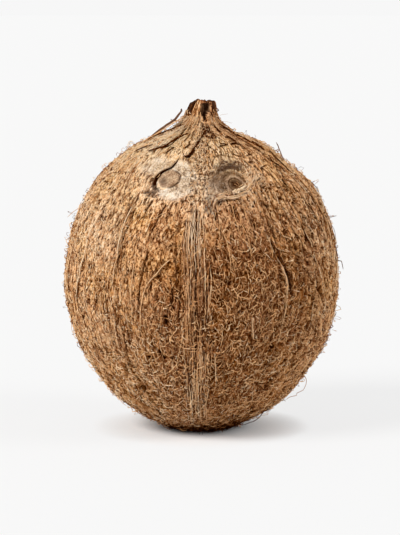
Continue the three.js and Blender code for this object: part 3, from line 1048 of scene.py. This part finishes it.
def make_layer(name, seed, where, count, stations, length, width, thickness, heading, curl, wobble, rise,
               tone, spread, dark):
    rng = np.random.default_rng(seed)
    azimuth, run = scatter(rng, count, where)
    lengths = rng.uniform(*length, count)
    headings = rng.normal(0, heading, count)
    curls = rng.normal(0, curl, count)
    azimuths, runs = creeping(rng, azimuth, run, headings, lengths, stations, curls, wobble)
    azimuths += drift_at(azimuth[:, None], runs) - drift_at(azimuth, run)[:, None]
    arch = np.sin(np.linspace(0.15, 0.9 * math.pi, stations))
    lift = 0.1 + rise * rng.gamma(2.0, 0.5, count)[:, None] * arch
    lift = lift - 0.3 * (1 - taper(stations, 0.1, 0.1, 0.8)) - 1.1 * bare_at(azimuths, runs)
    centres, outward = lie(azimuths, runs, lift)
    form = taper(stations, 0.35, 0.25, 0.5)
    half_width = (rng.uniform(*width, count) * narrowing(run))[:, None] * form
    half_depth = rng.uniform(*thickness, count)[:, None] * form
    # Fibre over the folds and cracks is darkened as painted shade.
    tones = fibre_tone(rng, azimuth, run, tone, spread, dark)[:, None] - 0.5 * folds(azimuths, runs)[1]
    fibre_mesh(name, centres, outward, half_width, half_depth, tones, 0.0)


for layer_seed, (layer_name, layer) in enumerate(COAT.items(), 101):
    make_layer(layer_name, layer_seed, **layer)


# ---- Single strands laid along listed paths ----
# Each strand is (points, half-width, tone, grey).
def strand_mesh(name, strands, centres, outward, narrow, uneven=1.0):
    half, tone, grey = (np.array([strand[k] for strand in strands])[:, None] for k in (1, 2, 3))
    width = half * narrow
    fibre_mesh(name, centres, outward, width * uneven, 0.8 * width, tone, grey)


def laid(name, strands, seed, stations=14, form=broad_skin, lift=0.6):
    """Strands that lie on the skin. Each of their points is an azimuth in degrees, a height and, where it
    isn't the usual one, how far it is lifted off the skin."""
    rng = np.random.default_rng(seed)
    azimuths, runs, lifts = [], [], []
    for points, *_ in strands:
        path = spline([(*point, lift)[:3] for point in points], stations)
        azimuths.append(np.radians(path[:, 0]) + rng.normal(0, 0.002, stations))
        runs.append(run_at(path[:, 1]) + rng.normal(0, 0.04, stations))
        lifts.append(path[:, 2])
    centres, outward = lie(np.array(azimuths), np.array(runs), np.array(lifts), form)
    uneven = 1 + 0.18 * rng.normal(0, 1, (len(strands), stations)).clip(-1.5, 1.5)
    strand_mesh(name, strands, centres, outward, taper(stations, 0.4, 0.2, 0.5), uneven)


def free_strands(name, strands, seed, stations):
    """Strands that stand clear of the skin. Their points are in millimetres."""
    rng = np.random.default_rng(seed)
    centres = np.array([spline(points, stations) for points, *_ in strands])
    centres[:, 1:-1] += rng.normal(0, 0.05, centres[:, 1:-1].shape)
    away = centres - np.array([0, AXIS_Y, 0])
    outward = away / np.linalg.norm(away, axis=2)[..., None]
    strand_mesh(name, strands, centres, outward, taper(stations, 0.6, 0.25, 0.5))


LONG_STRANDS = [
    ([(-11.6, 78.1), (-16, 73.6, 0.7), (-20.6, 68.8), (-23.8, 63), (-25.4, 55, 0.7),
      (-25.9, 48.6)], 0.28, 0.88, 0),
    ([(30.9, 85.5), (32.2, 80), (34.8, 74), (36.6, 68.5), (37.2, 63)], 0.62, 0.62, 0.35),
    ([(36.4, 66), (37.2, 61, 0.7), (37.5, 56, 0.8), (37.1, 49.7, 0.6), (36.6, 42)], 0.42, 0.84, 0.1),
    ([(-6.8, 49.5, 0.6), (-8.9, 41.1), (-11.4, 34.4), (-17, 30.6), (-23.4, 29.3)], 0.28, 0.84, 0),
    ([(-8.4, 51.5, 0.8), (-10.4, 48.8), (-12.9, 45.9)], 0.24, 0.84, 0),
    ([(5.9, 40.3), (6.9, 33), (7.6, 25.5)], 0.26, 0.90, 0.1),
    ([(21.3, 54.4), (21.9, 49.4, 0.7), (23.1, 44.6)], 0.60, 0.66, 0.35),
    ([(3.4, 77.5), (4.1, 65.8, 0.5), (2.6, 54.6), (2.4, 52.2), (3.9, 51.6)], 0.26, 0.88, 0.1),
    ([(1, 51.6, 0.7), (-0.2, 50.4, 0.8), (-1.4, 49.1)], 0.24, 0.86, 0.1),
    ([(-53, 95, 0.9), (-57.2, 86.2, 0.9), (-60.6, 76.8, 0.9), (-64.5, 65, 0.9),
      (-66.9, 56.7, 0.6)], 0.34, 0.96, 0.1),
    ([(-34.4, 97), (-36, 89, 0.9), (-36.8, 82, 0.9), (-37.4, 75.9)], 0.32, 0.94, 0.1),
    ([(12.1, 67.5), (13.9, 64.2, 0.8), (14.6, 61.4), (12.6, 58.3)], 0.26, 0.76, 0),
    ([(-27.5, 79), (-28.5, 72), (-29.5, 62), (-29, 54)], 0.24, 0.80, 0.1),
    ([(52, 92), (55, 80), (56.5, 66), (56, 52)], 0.26, 0.80, 0.2),
    ([(68, 88), (72, 74), (73, 58), (71, 44)], 0.28, 0.86, 0.1),
    ([(-46, 60), (-47.5, 50), (-47, 40)], 0.22, 0.82, 0.1),
    ([(-75, 80), (-79, 68), (-80, 54)], 0.26, 0.86, 0.1),
    # The last six strands are dark: painted shadow in the creases of the right flank.
    ([(32, 84, 0.8), (33.4, 80.3, 0.8), (35.3, 75.4, 0.8), (37.8, 71.2, 0.8), (38.8, 66.8, 0.8),
      (39.4, 60.7)], 0.30, 0, 0.1),
    ([(52.4, 94.6), (52.1, 87.5, 0.8), (53.1, 83.4, 0.8), (55.6, 77.7, 0.9), (56.5, 70.3, 0.9),
      (58.9, 61.9, 0.9)], 0.34, 0, 0.1),
    ([(58.9, 61.9), (62.4, 54.8), (63.4, 47)], 0.24, 0.04, 0.1),
    ([(60, 100), (64, 92), (67, 82)], 0.26, 0.02, 0.1),
    ([(39.2, 60), (39.6, 54), (39, 47)], 0.20, 0.04, 0.1),
    ([(46, 88), (48, 78), (49, 68)], 0.20, 0.04, 0.1),
]
LOOSE_STRANDS = [
    ([(-85, 93, 0.2), (-86, 91, 2), (-87, 87.6, 3.6)], 0.16, 0.55, 0.2),
    ([(86, 71.5, 0.2), (88, 70.5, 1.8), (90, 66.5, 2.6)], 0.24, 0.12, 0.3),
    ([(84, 112.6, 0.2), (84, 115, 1.9), (84, 117.2, 3.8)], 0.32, 0.16, 0.2),
    ([(78, 24, 0.3), (80, 22, 3.2), (76, 18, 4), (70, 14.8, 1.5)], 0.18, 0.40, 0.1),
    ([(60, 20, 0.3), (64, 14, 2.4), (58, 9.5, 3)], 0.16, 0.50, 0.1),
    ([(16, 4.2, 0.2), (22, 2.8, 1), (26, 1.2, 1)], 0.14, 0.30, 0.1),
    ([(-46, 6, 0.2), (-50, 3.6, 1.6), (-44, 2.2, 1.8)], 0.14, 0.35, 0.1),
    ([(-70, 22, 0.3), (-72, 17, 1.3), (-67, 12, 1.4)], 0.18, 0.55, 0.1),
    ([(-84, 47, 0.2), (-86, 42, 2.2), (-84, 38.5, 1)], 0.15, 0.55, 0.1),
    ([(150, 30, 0.3), (154, 24, 2.6), (148, 18, 2.2)], 0.18, 0.50, 0.1),
    ([(-140, 85, 0.3), (-136, 80, 2.4), (-138, 74, 0.8)], 0.18, 0.70, 0.1),
]
# Dark strands laid in the long cracks, as painted shadow of the cracks: points and half-width.
CRACK_SHADOW_STRANDS = [
    ([(-19.6, 124.5), (-25.5, 123.6), (-30.2, 122.1), (-35.1, 119.2), (-41, 118.4), (-48.1, 117.4)], 0.44),
    ([(-48.6, 127.5), (-62, 126.4), (-76, 124.8), (-82, 123), (-73.9, 121)], 0.42),
    ([(-50, 119.8), (-58, 118.8), (-66, 116.6)], 0.30),
    ([(8.9, 125.9), (2.6, 123.6), (-0.9, 122), (-6.6, 118.1), (-9.6, 116.4), (-12.8, 116.4)], 0.34),
    ([(56.9, 127.7), (63.8, 126.4), (66.8, 124.8), (64.6, 123.6)], 0.52),
    ([(64, 123.4), (60.8, 122.2), (59.6, 120.1), (64.9, 118.5)], 0.50),
    ([(67.2, 120.9), (63.4, 119.3), (63.6, 117.3)], 0.40),
    ([(61.9, 115.8), (59.3, 113.2), (63.6, 111.3), (64.8, 107.8)], 0.34),
    ([(34, 127.6), (36, 124.6)], 0.34),
    ([(38, 123.4), (40, 121.2)], 0.34),
    ([(18.4, 120.5), (22.5, 120.6), (27, 120.1)], 0.28),
    ([(31.8, 120.6), (37, 120.7), (41.5, 120.3)], 0.28),
    ([(70, 116), (71.5, 111), (72, 106)], 0.36),
]
laid("crack_shadows", [(*shadow_path, 0, 0) for shadow_path in CRACK_SHADOW_STRANDS], seed=213, form=unbroken_skin, lift=0.35)
laid("long_strands", LONG_STRANDS, seed=201)
laid("loose_strands", LOOSE_STRANDS, seed=202)


# ---- The front seam ----
def seam_azimuth(height, aside):
    """Azimuth in degrees of a strand that runs beside the front seam, aside in millimetres."""
    line = np.array(SEAM_LINE)[::-1]
    middle = np.interp(height, line[:, 1], line[:, 0])
    spread = 1 - 0.35 * (1 - smooth(height, 8, 40)) - 0.25 * smooth(height, 84, 100)
    return middle + np.degrees(aside * spread / radius_at(run_at(height)))


# Each cord of the seam: millimetres aside, top and bottom heights, half-width, tone, greyness and lift.
SEAM_CORDS = [
    (-5.6, 82, 46, 0.26, 0.55, 0, 0.1),
    (-4.5, 96, 34, 0.28, 0.50, 0.1, 0.2),
    (-3.7, 76, 20, 0.34, 0.66, 0.15, 0.3),
    (-3, 99, 24, 0.36, 0.66, 0.30, 0.4),
    (-2.2, 96, 58, 0.30, 0.80, 0.3, 0.5),
    (-1.3, 80, 18, 0.24, 0.50, 0.2, 0.2),
    (0.9, 92, 30, 0.36, 0.52, 0.2, 0.3),
    (1.8, 98, 38, 0.26, 0.60, 0.1, 0.3),
    (3.4, 85, 56, 0.27, 0.90, 0.1, 0.6),
    (3.4, 90, 44, 0.28, 0.48, 0.1, 0.2),
    (4.6, 88, 56, 0.24, 0.42, 0, 0.1),
    (5.4, 76, 44, 0.22, 0.50, 0, 0.2),
    (0.1, 86, 52, 0.20, 0.30, 0.1, 0.1),
    (2.2, 48, 26, 0.28, 0.72, 0.1, 0.3),
    (4, 42, 28, 0.24, 0.70, 0.1, 0.3),
]
SEAM_THREADS = 200
CORD_POINTS = 8
THREAD_POINTS = 5


def make_seam():
    rng = np.random.default_rng(203)
    strands = []
    for aside, top, bottom, half, tone, grey, lift in SEAM_CORDS:
        heights = np.linspace(top, bottom, CORD_POINTS)
        azimuths = seam_azimuth(heights, aside + rng.normal(0, 0.16, CORD_POINTS))
        lifts = lift + rng.normal(0, 0.08, CORD_POINTS)
        lifts[[0, -1]] = -0.3
        strands.append((np.stack([azimuths, heights, lifts], -1), half, tone, grey))
    for _ in range(SEAM_THREADS):
        aside = rng.normal(0.2, 2.7)
        aside += 0.5 * np.sign(aside)
        top = rng.uniform(22, 101)
        heights = np.linspace(top, max(top - rng.uniform(6, 24), 5), THREAD_POINTS)
        wander = rng.normal(0, 0.2, THREAD_POINTS) + np.linspace(0, rng.normal(0, 0.5), THREAD_POINTS)
        azimuths = seam_azimuth(heights, aside + wander)
        lifts = rng.uniform(0.2, 0.9) + rng.normal(0, 0.1, THREAD_POINTS)
        lifts[[0, -1]] = -0.1
        upper, lower = float(smooth(top, 80, 100)), 1 - float(smooth(top, 40, 58))
        dark = rng.random() < 0.46 - 0.2 * lower - 0.26 * upper
        tone = rng.uniform(0.0, 0.15) if dark else rng.uniform(0.30, 0.70) + 0.34 * upper + 0.30 * lower
        grey = rng.uniform(0, 0.3) + 0.3 * upper
        strands.append((np.stack([azimuths, heights, lifts], -1), rng.uniform(0.10, 0.22), tone, grey))
    laid("front_seam", strands, seed=204, stations=18)


make_seam()


# ---- Round the eyes ----
BROW = [(9.5, 111.4), (13, 112.3), (18, 112.6), (23, 112.4), (28, 111.4)]
# Bundles along the edges: path, how many strands, spread to either side, and then from least to most the
# half-width, tone, greyness, lift and share of the path that a strand follows.
RIM_BUNDLES = [
    (STRAW_RIM, 46, 0.9, (0.10, 0.2), (0.7, 1.0), (0.0, 0.4), (0.5, 1.2), (0.08, 0.22)),
    (STRAW_RIM, 22, 1.0, (0.10, 0.16), (0.0, 0.3), (0.0, 0.3), (0.3, 0.9), (0.06, 0.15)),
    (CREAM_LEDGE, 17, 0.45, (0.30, 0.55), (1.0, 1.1), (0.0, 0.2), (0.6, 1.2), (0.10, 0.24)),
    (CREAM_CRESCENT, 7, 0.3, (0.24, 0.42), (1.0, 1.1), (0.0, 0.3), (0.3, 0.6), (0.3, 0.6)),
    (BROW, 14, 0.8, (0.08, 0.15), (0.0, 0.4), (0.3, 0.7), (0.1, 0.4), (0.12, 0.3)),
]
# Tufts of short hairs: how many, azimuths and heights they grow at, heading in degrees from straight up and
# its spread, and then from least to most the length, half-width, tone, greyness and lift.
STRAW_TUFTS = [
    (90, (28, 38), (104.8, 111.2), (38, 14), (2.0, 4.2), (0.09, 0.16), (0.8, 1.0), (0, 0.25), (0.2, 0.6)),
]
EYE_TUFTS = [
    (56, (-29.5, -22), (100.8, 105), (50, 30), (1.4, 3.0), (0.08, 0.13), (0.0, 0.5), (0.5, 1), (0.3, 0.7)),
    (90, (5, 15), (101.5, 113.5), (0, 60), (0.8, 2.0), (0.06, 0.10), (0.1, 0.8), (0.6, 1), (0.1, 0.4)),
    (80, (-14, -5), (101.5, 112), (0, 60), (0.6, 1.8), (0.06, 0.10), (0.0, 1.0), (0.3, 0.9), (0.1, 0.4)),
    (230, (-6, 5), (99, 122), (0, 60), (0.7, 2.0), (0.10, 0.17), (0.7, 1.0), (0, 0.2), (0.3, 0.9)),
    (130, (-6, 5), (99, 122), (0, 60), (0.6, 1.4), (0.10, 0.18), (0.0, 0.1), (0, 0.2), (0.2, 0.6)),
    (120, (6, 37), (98, 103.2), (30, 50), (0.8, 2.2), (0.07, 0.12), (0.5, 1.0), (0, 0.4), (0.2, 0.9)),
    (90, (12.5, 28), (110.8, 114.4), (75, 40), (0.9, 2.2), (0.08, 0.14), (0, 0.3), (0.2, 0.8), (0.1, 0.5)),
    (70, (2.2, 6.6), (95, 102.5), (0, 22), (1.2, 3.4), (0.08, 0.15), (0.2, 0.8), (0.7, 1), (0.1, 0.5)),
]
# Fine curls round the foot of the stub, and dark and pale shreds on the front of the neck.
NECK_TUFTS = [
    (90, (-180, 180), (126, 131), (0, 60), (1.2, 3.0), (0.07, 0.14), (0.4, 0.9), (0, 0.2), (0.3, 1.3)),
    (54, (3, 20), (122.6, 126.8), (0, 50), (0.8, 2.4), (0.12, 0.24), (0.0, 0.06), (0, 0.1), (0.2, 0.9)),
    (18, (4, 30), (123.5, 128), (0, 50), (1.5, 3.0), (0.08, 0.13), (0.7, 0.9), (0, 0.2), (0.5, 1.1)),
]


def bundle_along(rng, path, count, spread, half, tone, grey, lift, share):
    """Overlapping strands that follow parts of a path, spread to either side of it in millimetres."""
    strands = []
    fine, stations = 60, 6
    line = spline(path, fine)
    for _ in range(count):
        part = rng.uniform(*share)
        start = rng.uniform(0, 1 - part)
        place = np.linspace(start, start + part, stations) * (fine - 1)
        points = np.stack([np.interp(place, np.arange(fine), line[:, k]) for k in (0, 1)], -1)
        aside = rng.normal(0, spread) + rng.normal(0, 0.12, stations)
        points[:, 1] += 0.6 * aside
        points[:, 0] += 0.6 * aside * np.sign(rng.normal())
        lifts = rng.uniform(*lift) + rng.normal(0, 0.06, stations)
        lifts[[0, -1]] = 0.0
        strands.append((np.column_stack([points, lifts]), rng.uniform(*half), rng.uniform(*tone),
                        rng.uniform(*grey)))
    return strands


def tufts(rng, rows):
    """Short hairs scattered in the patches of a list of tufts."""
    strands = []
    for count, azimuths, heights, heading, length, half, tone, grey, lift in rows:
        for _ in range(count):
            azimuth, height = rng.uniform(*azimuths), rng.uniform(*heights)
            way = math.radians(rng.normal(*heading))
            reach = rng.uniform(*length)
            bend = rng.normal(0, 0.35)
            high = rng.uniform(*lift)
            radius = float(radius_at(run_at(height)))
            points = []
            for t, up in ((-0.5, -0.05), (-0.17, high), (0.17, high), (0.5, 0.0)):
                angle = way + bend * t
                across = math.degrees(reach * t * math.sin(angle) / radius)
                points.append((azimuth + across, height + 0.7 * reach * t * math.cos(angle), up))
            strands.append((points, rng.uniform(*half), rng.uniform(*tone), rng.uniform(*grey)))
    return strands


def make_eye_fibres():
    rng = np.random.default_rng(205)
    rims = [strand for row in RIM_BUNDLES for strand in bundle_along(rng, *row)]
    laid("eye_rims", rims + tufts(rng, STRAW_TUFTS), seed=206, stations=7)
    laid("eye_hairs", tufts(rng, EYE_TUFTS), seed=207, stations=5)


make_eye_fibres()


# ---- The stub of the stem end ----
STUB_ROOT = NECK_HEIGHT - 4.0
STUB_LEAN = 1.3
STUB_COLUMNS = 200
STUB_ROWS = 64
NECK_SHREDS = 150
# Radius of the neck and the stub at each height, for the shreds that cling to them.
NECK_LINE = [(121.3, 22.3), (124.3, 14.6), (127.4, 9.4), (129.8, 7.2), (NECK_HEIGHT, 6.6), (133.5, 5.8),
             (138, 4.9)]
# Outer wall from the root, over the rim and down into the cup, as radius and height.
STUB_PROFILE = [
    (8.4, STUB_ROOT), (6.9, NECK_HEIGHT - 1.2), (6.0, NECK_HEIGHT + 0.8), (5.7, NECK_HEIGHT + 2.4),
    (5.1, NECK_HEIGHT + 4.4), (4.6, STUB_TOP - 0.8), (4.0, STUB_TOP - 0.1), (3.3, STUB_TOP - 0.5),
    (2.6, STUB_TOP - 1.6), (1.2, STUB_TOP - 2.2),
]


def sector(azimuth, centre, half, soft=5.0):
    """1 within half degrees of a centre, fading out over soft degrees."""
    away = np.degrees(np.abs(wrapped(azimuth - math.radians(centre))))
    return 1 - smooth(away, half - soft / 2, half + soft / 2)


def stub_up(height):
    """0 at the root of the stub and 1 at its top."""
    return (height - STUB_ROOT) / (STUB_TOP - STUB_ROOT)


def make_stub():
    path = spline(STUB_PROFILE, STUB_ROWS)
    azimuth = np.linspace(-math.pi, math.pi, STUB_COLUMNS, endpoint=False)[None, :]
    radius, height = path[:, 0][:, None], path[:, 1][:, None]
    step = np.linspace(0, 1, STUB_ROWS)[:, None]
    inside = smooth(step, 0.64, 0.74)
    up = np.clip(stub_up(height), 0, 1)
    standing = smooth(up, 0.3, 0.6)
    outer = (1 - inside) * standing
    # Woody strands up the wall, and where it is split, torn and rotted out.
    twist = azimuth + 0.05 * (noise(azimuth + 0 * step, step * LENGTH, 12, 4, 50) - 0.5)
    strands = noise(twist, step * LENGTH, 46, 2, 51) - 0.5
    shreds = noise(twist, step * LENGTH, 110, 5, 52) - 0.5
    rim = noise(azimuth, 0 * azimuth, 40, 1, 53) - 0.5
    turn = turn_at(azimuth)
    slab_edge = -48 - 14 * (1 - up)
    slab = smooth(slab_edge - turn, -3, 3) * (1 - smooth(-turn, 105, 120)) * standing
    lobe = sector(azimuth, 80, 30, 12) * standing
    split = bell((turn - slab_edge) / 5) + 0.8 * sector(azimuth, 54, 2, 6) + 0.6 * sector(azimuth, -150, 3, 6)
    split = np.minimum(split + 0.5 * sector(azimuth, -72, 2, 6), 1)
    foot = 128.9 + 3.0 * np.clip(np.abs(turn - 15) / 16, 0, 1) + 1.6 * shreds
    pit = sector(azimuth, 19, 25, 10) * window(height, foot, foot + 1.0, 136.0, 136.7) * (1 - inside)
    out = radius * (1 + 0.05 * np.cos(5 * azimuth + 0.6) * standing)
    out = out + (0.7 * strands + 0.45 * shreds) * (0.5 + 0.5 * outer)
    out = out + 0.4 * lobe * bell((height - 135.0) / 2.4) - 1.2 * split * outer - 2.6 * pit
    top = bell(height - STUB_TOP)
    z = height + top * (0.25 * np.cos(3 * azimuth + 1.1) + 0.8 * rim - 0.3 - 0.7 * np.sin(azimuth) ** 2)
    x = out * np.sin(azimuth) + STUB_LEAN * up**2
    y = AXIS_Y - out * np.cos(azimuth)
    points = np.stack([x, y, z], -1)
    # Painted shade: the inside of the cup, the splits, the grooves between the shreds and the pit are
    # darkened in the tone and the masks below.
    tone = 0.56 + 0.4 * strands + 0.4 * shreds - 0.62 * slab - 0.50 * lobe - 0.30 * inside - 0.25 * top
    tone = tone - 0.08 * (1 - np.cos(azimuth)) * standing
    lines = smooth(-shreds, 0.16, 0.36) * outer
    striped = 0.8 - 0.45 * smooth(shreds, -0.10, 0.20) + 0.4 * (1 - smooth(height, 131.4, 133.0))
    crack_shade = 0.9 * split * outer + striped * smooth(pit, 0.2, 0.6) + 0.35 * inside + 0.6 * lines
    crack_shade = np.maximum(np.clip(crack_shade, 0, 0.95), 0.35 * slab * outer)
    stain_and_shade = np.clip(0.15 * slab + 0.15 * lobe + 0.8 * smooth(pit, 0.1, 0.5) + 0.3 * inside, 0, 1)
    flow = np.broadcast_arrays(6 * np.sin(azimuth), 6 * np.cos(azimuth), 0.3 * height)
    flow = np.stack(flow, -1).reshape(-1, 3) * MM
    masks = dict.fromkeys(("loose", "woody", "pale", "felt", "plug"), np.zeros(out.size + 2))
    masks["tone"] = np.append(tone.ravel(), [0.4, 0.4])
    masks["crack_shade"] = np.append(crack_shade.ravel(), [0, 0.4])
    masks["stain_and_shade"] = np.append(stain_and_shade.ravel(), [0, 0])
    masks["flow"] = np.concatenate([flow, np.zeros((2, 3))])
    triangles, uvs = closed_grid(STUB_ROWS, STUB_COLUMNS)
    ends = [(0, AXIS_Y, STUB_ROOT - 1.0), (STUB_LEAN, AXIS_Y, STUB_TOP - 2.4)]
    points = np.concatenate([points.reshape(-1, 3), ends])
    mesh_object("stem_stub", points, triangles, uvs, masks, SKIN)


def make_neck_strands():
    """Shreds that cling to the stub and fray out over the neck."""
    rng = np.random.default_rng(208)
    heights, radii = zip(*NECK_LINE)
    strands = []
    for _ in range(NECK_SHREDS):
        azimuth = math.radians(rng.uniform(-180, 180))
        top = rng.uniform(NECK_HEIGHT - 1.5, NECK_HEIGHT + 3.0)
        if math.radians(-2) < azimuth < math.radians(34):
            top -= 4.2 # below the pit
        length = rng.uniform(2.5, 8)
        if -1.7 < azimuth < -0.7 or 0.8 < azimuth < 1.15:
            length *= 0.45 # above the slab on the left and the cracks on the right
        turn = rng.normal(0, 0.22)
        points = []
        for t in np.linspace(0, 1, 5):
            height = top - length * t * 0.75
            lift = 0.25 + rng.uniform(0.0, 0.5) * math.sin(math.pi * t)
            out = float(np.interp(height, heights, radii)) + lift
            angle = azimuth + turn * t
            lean = STUB_LEAN * max(stub_up(height), 0) ** 2
            points.append((out * math.sin(angle) + lean, AXIS_Y - out * math.cos(angle), height))
        tone = rng.uniform(0.0, 0.3) if rng.random() < 0.22 else rng.uniform(0.6, 0.95)
        tone -= 0.25 * float(smooth(azimuth, 0, 0.6))
        strands.append((points, rng.uniform(0.12, 0.30), max(tone, 0.0), rng.uniform(0, 0.1)))
    free_strands("neck_strands", strands, seed=209, stations=9)


# The splinter beside the stub, its side twig and the thin strips under it, and a few hairs that stand clear.
SPLINTER = [
    ([(-22.6, -1.9, 120.2), (-19.2, -2, 123.4), (-14.6, -2.2, 126.8), (-10.2, -2.2, 130), (-7.7, -2, 133.4)],
     0.75, 0.12, 0.35),
    ([(-9, -2.2, 131.6), (-7.9, -2, 133.1), (-8.1, -2, 133.9)], 0.55, 0.16, 0.35),
    ([(-12.4, -2.1, 129.8), (-11.2, -2.3, 129.1), (-9.6, -2.5, 129.4)], 0.24, 0.16, 0.4),
    ([(-19.5, -2.6, 123), (-15.2, -3, 125.6), (-11.4, -3.2, 128.2), (-6.6, -2.6, 130.9)], 0.36, 0.72, 0.1),
    ([(-24.6, -1.6, 119.6), (-20.6, -2.2, 122.4), (-15.6, -2.6, 124.9)], 0.40, 0.50, 0.1),
    ([(-4.6, -1, 131.2), (-6.6, -1.4, 130.8), (-8.2, -1.2, 129.2)], 0.16, 0.8, 0),
    ([(5.7, -1, 134.3), (6.9, -1.2, 134.1), (7.3, -1.2, 133.3), (6.5, -1.2, 132.7)], 0.32, 0.12, 0.2),
    ([(6.2, -2, 129.6), (7.7, -2.2, 130.8), (8.9, -2.2, 131.7), (11.6, -2.2, 131.9)], 0.07, 0.45, 0.4),
    ([(7.2, -2, 128.4), (10, -2.4, 128.8), (13.4, -2.4, 128.1)], 0.07, 0.45, 0.4),
    ([(22, -2, 121.4), (22.8, -2.2, 122.6), (22.4, -2.2, 123.4)], 0.08, 0.3, 0.3),
    ([(27, -2, 10.4), (26.6, -2.6, 7.2), (23.4, -3.4, 3.6), (16.8, -4.4, 1.2)], 0.22, 0.04, 0.4),
]

make_stub()
make_neck_strands()
laid("neck_frizz", tufts(np.random.default_rng(210), NECK_TUFTS), seed=211, stations=6)
free_strands("splinter", SPLINTER, seed=212, stations=16)

# ---- Light, floor and backdrop ----
BACKDROP = srgb(247, 247, 247)
FLOOR = srgb(243, 243, 242)
FLOOR_HALF = 30.0
FLOOR_GLOW = 0.82 # share of the backdrop's own colour that the camera sees in the floor
# The glow fades where the nut stands over the floor: within this many metres of it, by this power.
SHADE_REACH = 0.018
SHADE_POWER = 1.6

floor_mesh = bpy.data.meshes.new("floor")
floor_corners = [(x * FLOOR_HALF, y * FLOOR_HALF, 0) for x, y in ((-1, -1), (1, -1), (1, 1), (-1, 1))]
floor_mesh.from_pydata(floor_corners, [], [(0, 1, 2, 3)])
floor = bpy.data.objects.new("floor", floor_mesh)
bpy.context.scene.collection.objects.link(floor)
floor_material, floor_nodes, floor_shader = new_material("floor", 0.9, 0.1)
floor_shader.inputs["Base Color"].default_value = FLOOR
floor_mesh.materials.append(floor_material)
seen_floor = floor_nodes.add("ShaderNodeEmission", Color=BACKDROP)
open_sky = floor_nodes.add("ShaderNodeAmbientOcclusion", {"samples": 8}, Distance=SHADE_REACH)
floor_ray = floor_nodes.add("ShaderNodeLightPath")
openness = floor_nodes.maths("POWER", open_sky.outputs["AO"], SHADE_POWER)
glow = floor_nodes.maths("MULTIPLY", floor_ray.outputs["Is Camera Ray"], openness)
share = floor_nodes.maths("MULTIPLY", glow, FLOOR_GLOW)
floor_nodes.blend_shaders("Material Output", share, floor_shader.outputs[0], seen_floor.outputs[0])

SKY_LIGHT = 0.36
world = bpy.data.worlds.new("studio")
bpy.context.scene.world = world
world_nodes = Nodes(world)
sky = world_nodes.tree.nodes["Background"]
sky.inputs["Color"].default_value = (1, 1, 1, 1)
sky.inputs["Strength"].default_value = SKY_LIGHT
seen = world_nodes.add("ShaderNodeBackground", Color=BACKDROP)
ray = world_nodes.add("ShaderNodeLightPath")
mirrored = world_nodes.maths("MAXIMUM", ray.outputs["Is Glossy Ray"], ray.outputs["Is Transmission Ray"])
direct = world_nodes.maths("MAXIMUM", ray.outputs["Is Camera Ray"], mirrored)
world_nodes.blend_shaders("World Output", direct, sky.outputs[0], seen.outputs[0])

# Each lamp: azimuth it shines from, elevation, and what it adds to a white surface that faces it.
LAMPS = {"key": (-52, 40, 0.84), "fill": (74, 30, 0.40)}
LAMP_SOFTNESS = math.radians(26)
for lamp_name, (lamp_azimuth, lamp_elevation, brightness) in LAMPS.items():
    lamp_data = bpy.data.lights.new(lamp_name, "SUN")
    lamp_data.energy = brightness * math.pi
    lamp_data.angle = LAMP_SOFTNESS
    lamp = bpy.data.objects.new(lamp_name, lamp_data)
    lamp.rotation_euler = (math.pi / 2 - math.radians(lamp_elevation), 0, math.radians(lamp_azimuth))
    bpy.context.scene.collection.objects.link(lamp)

bpy.context.scene.view_settings.view_transform = "Standard"
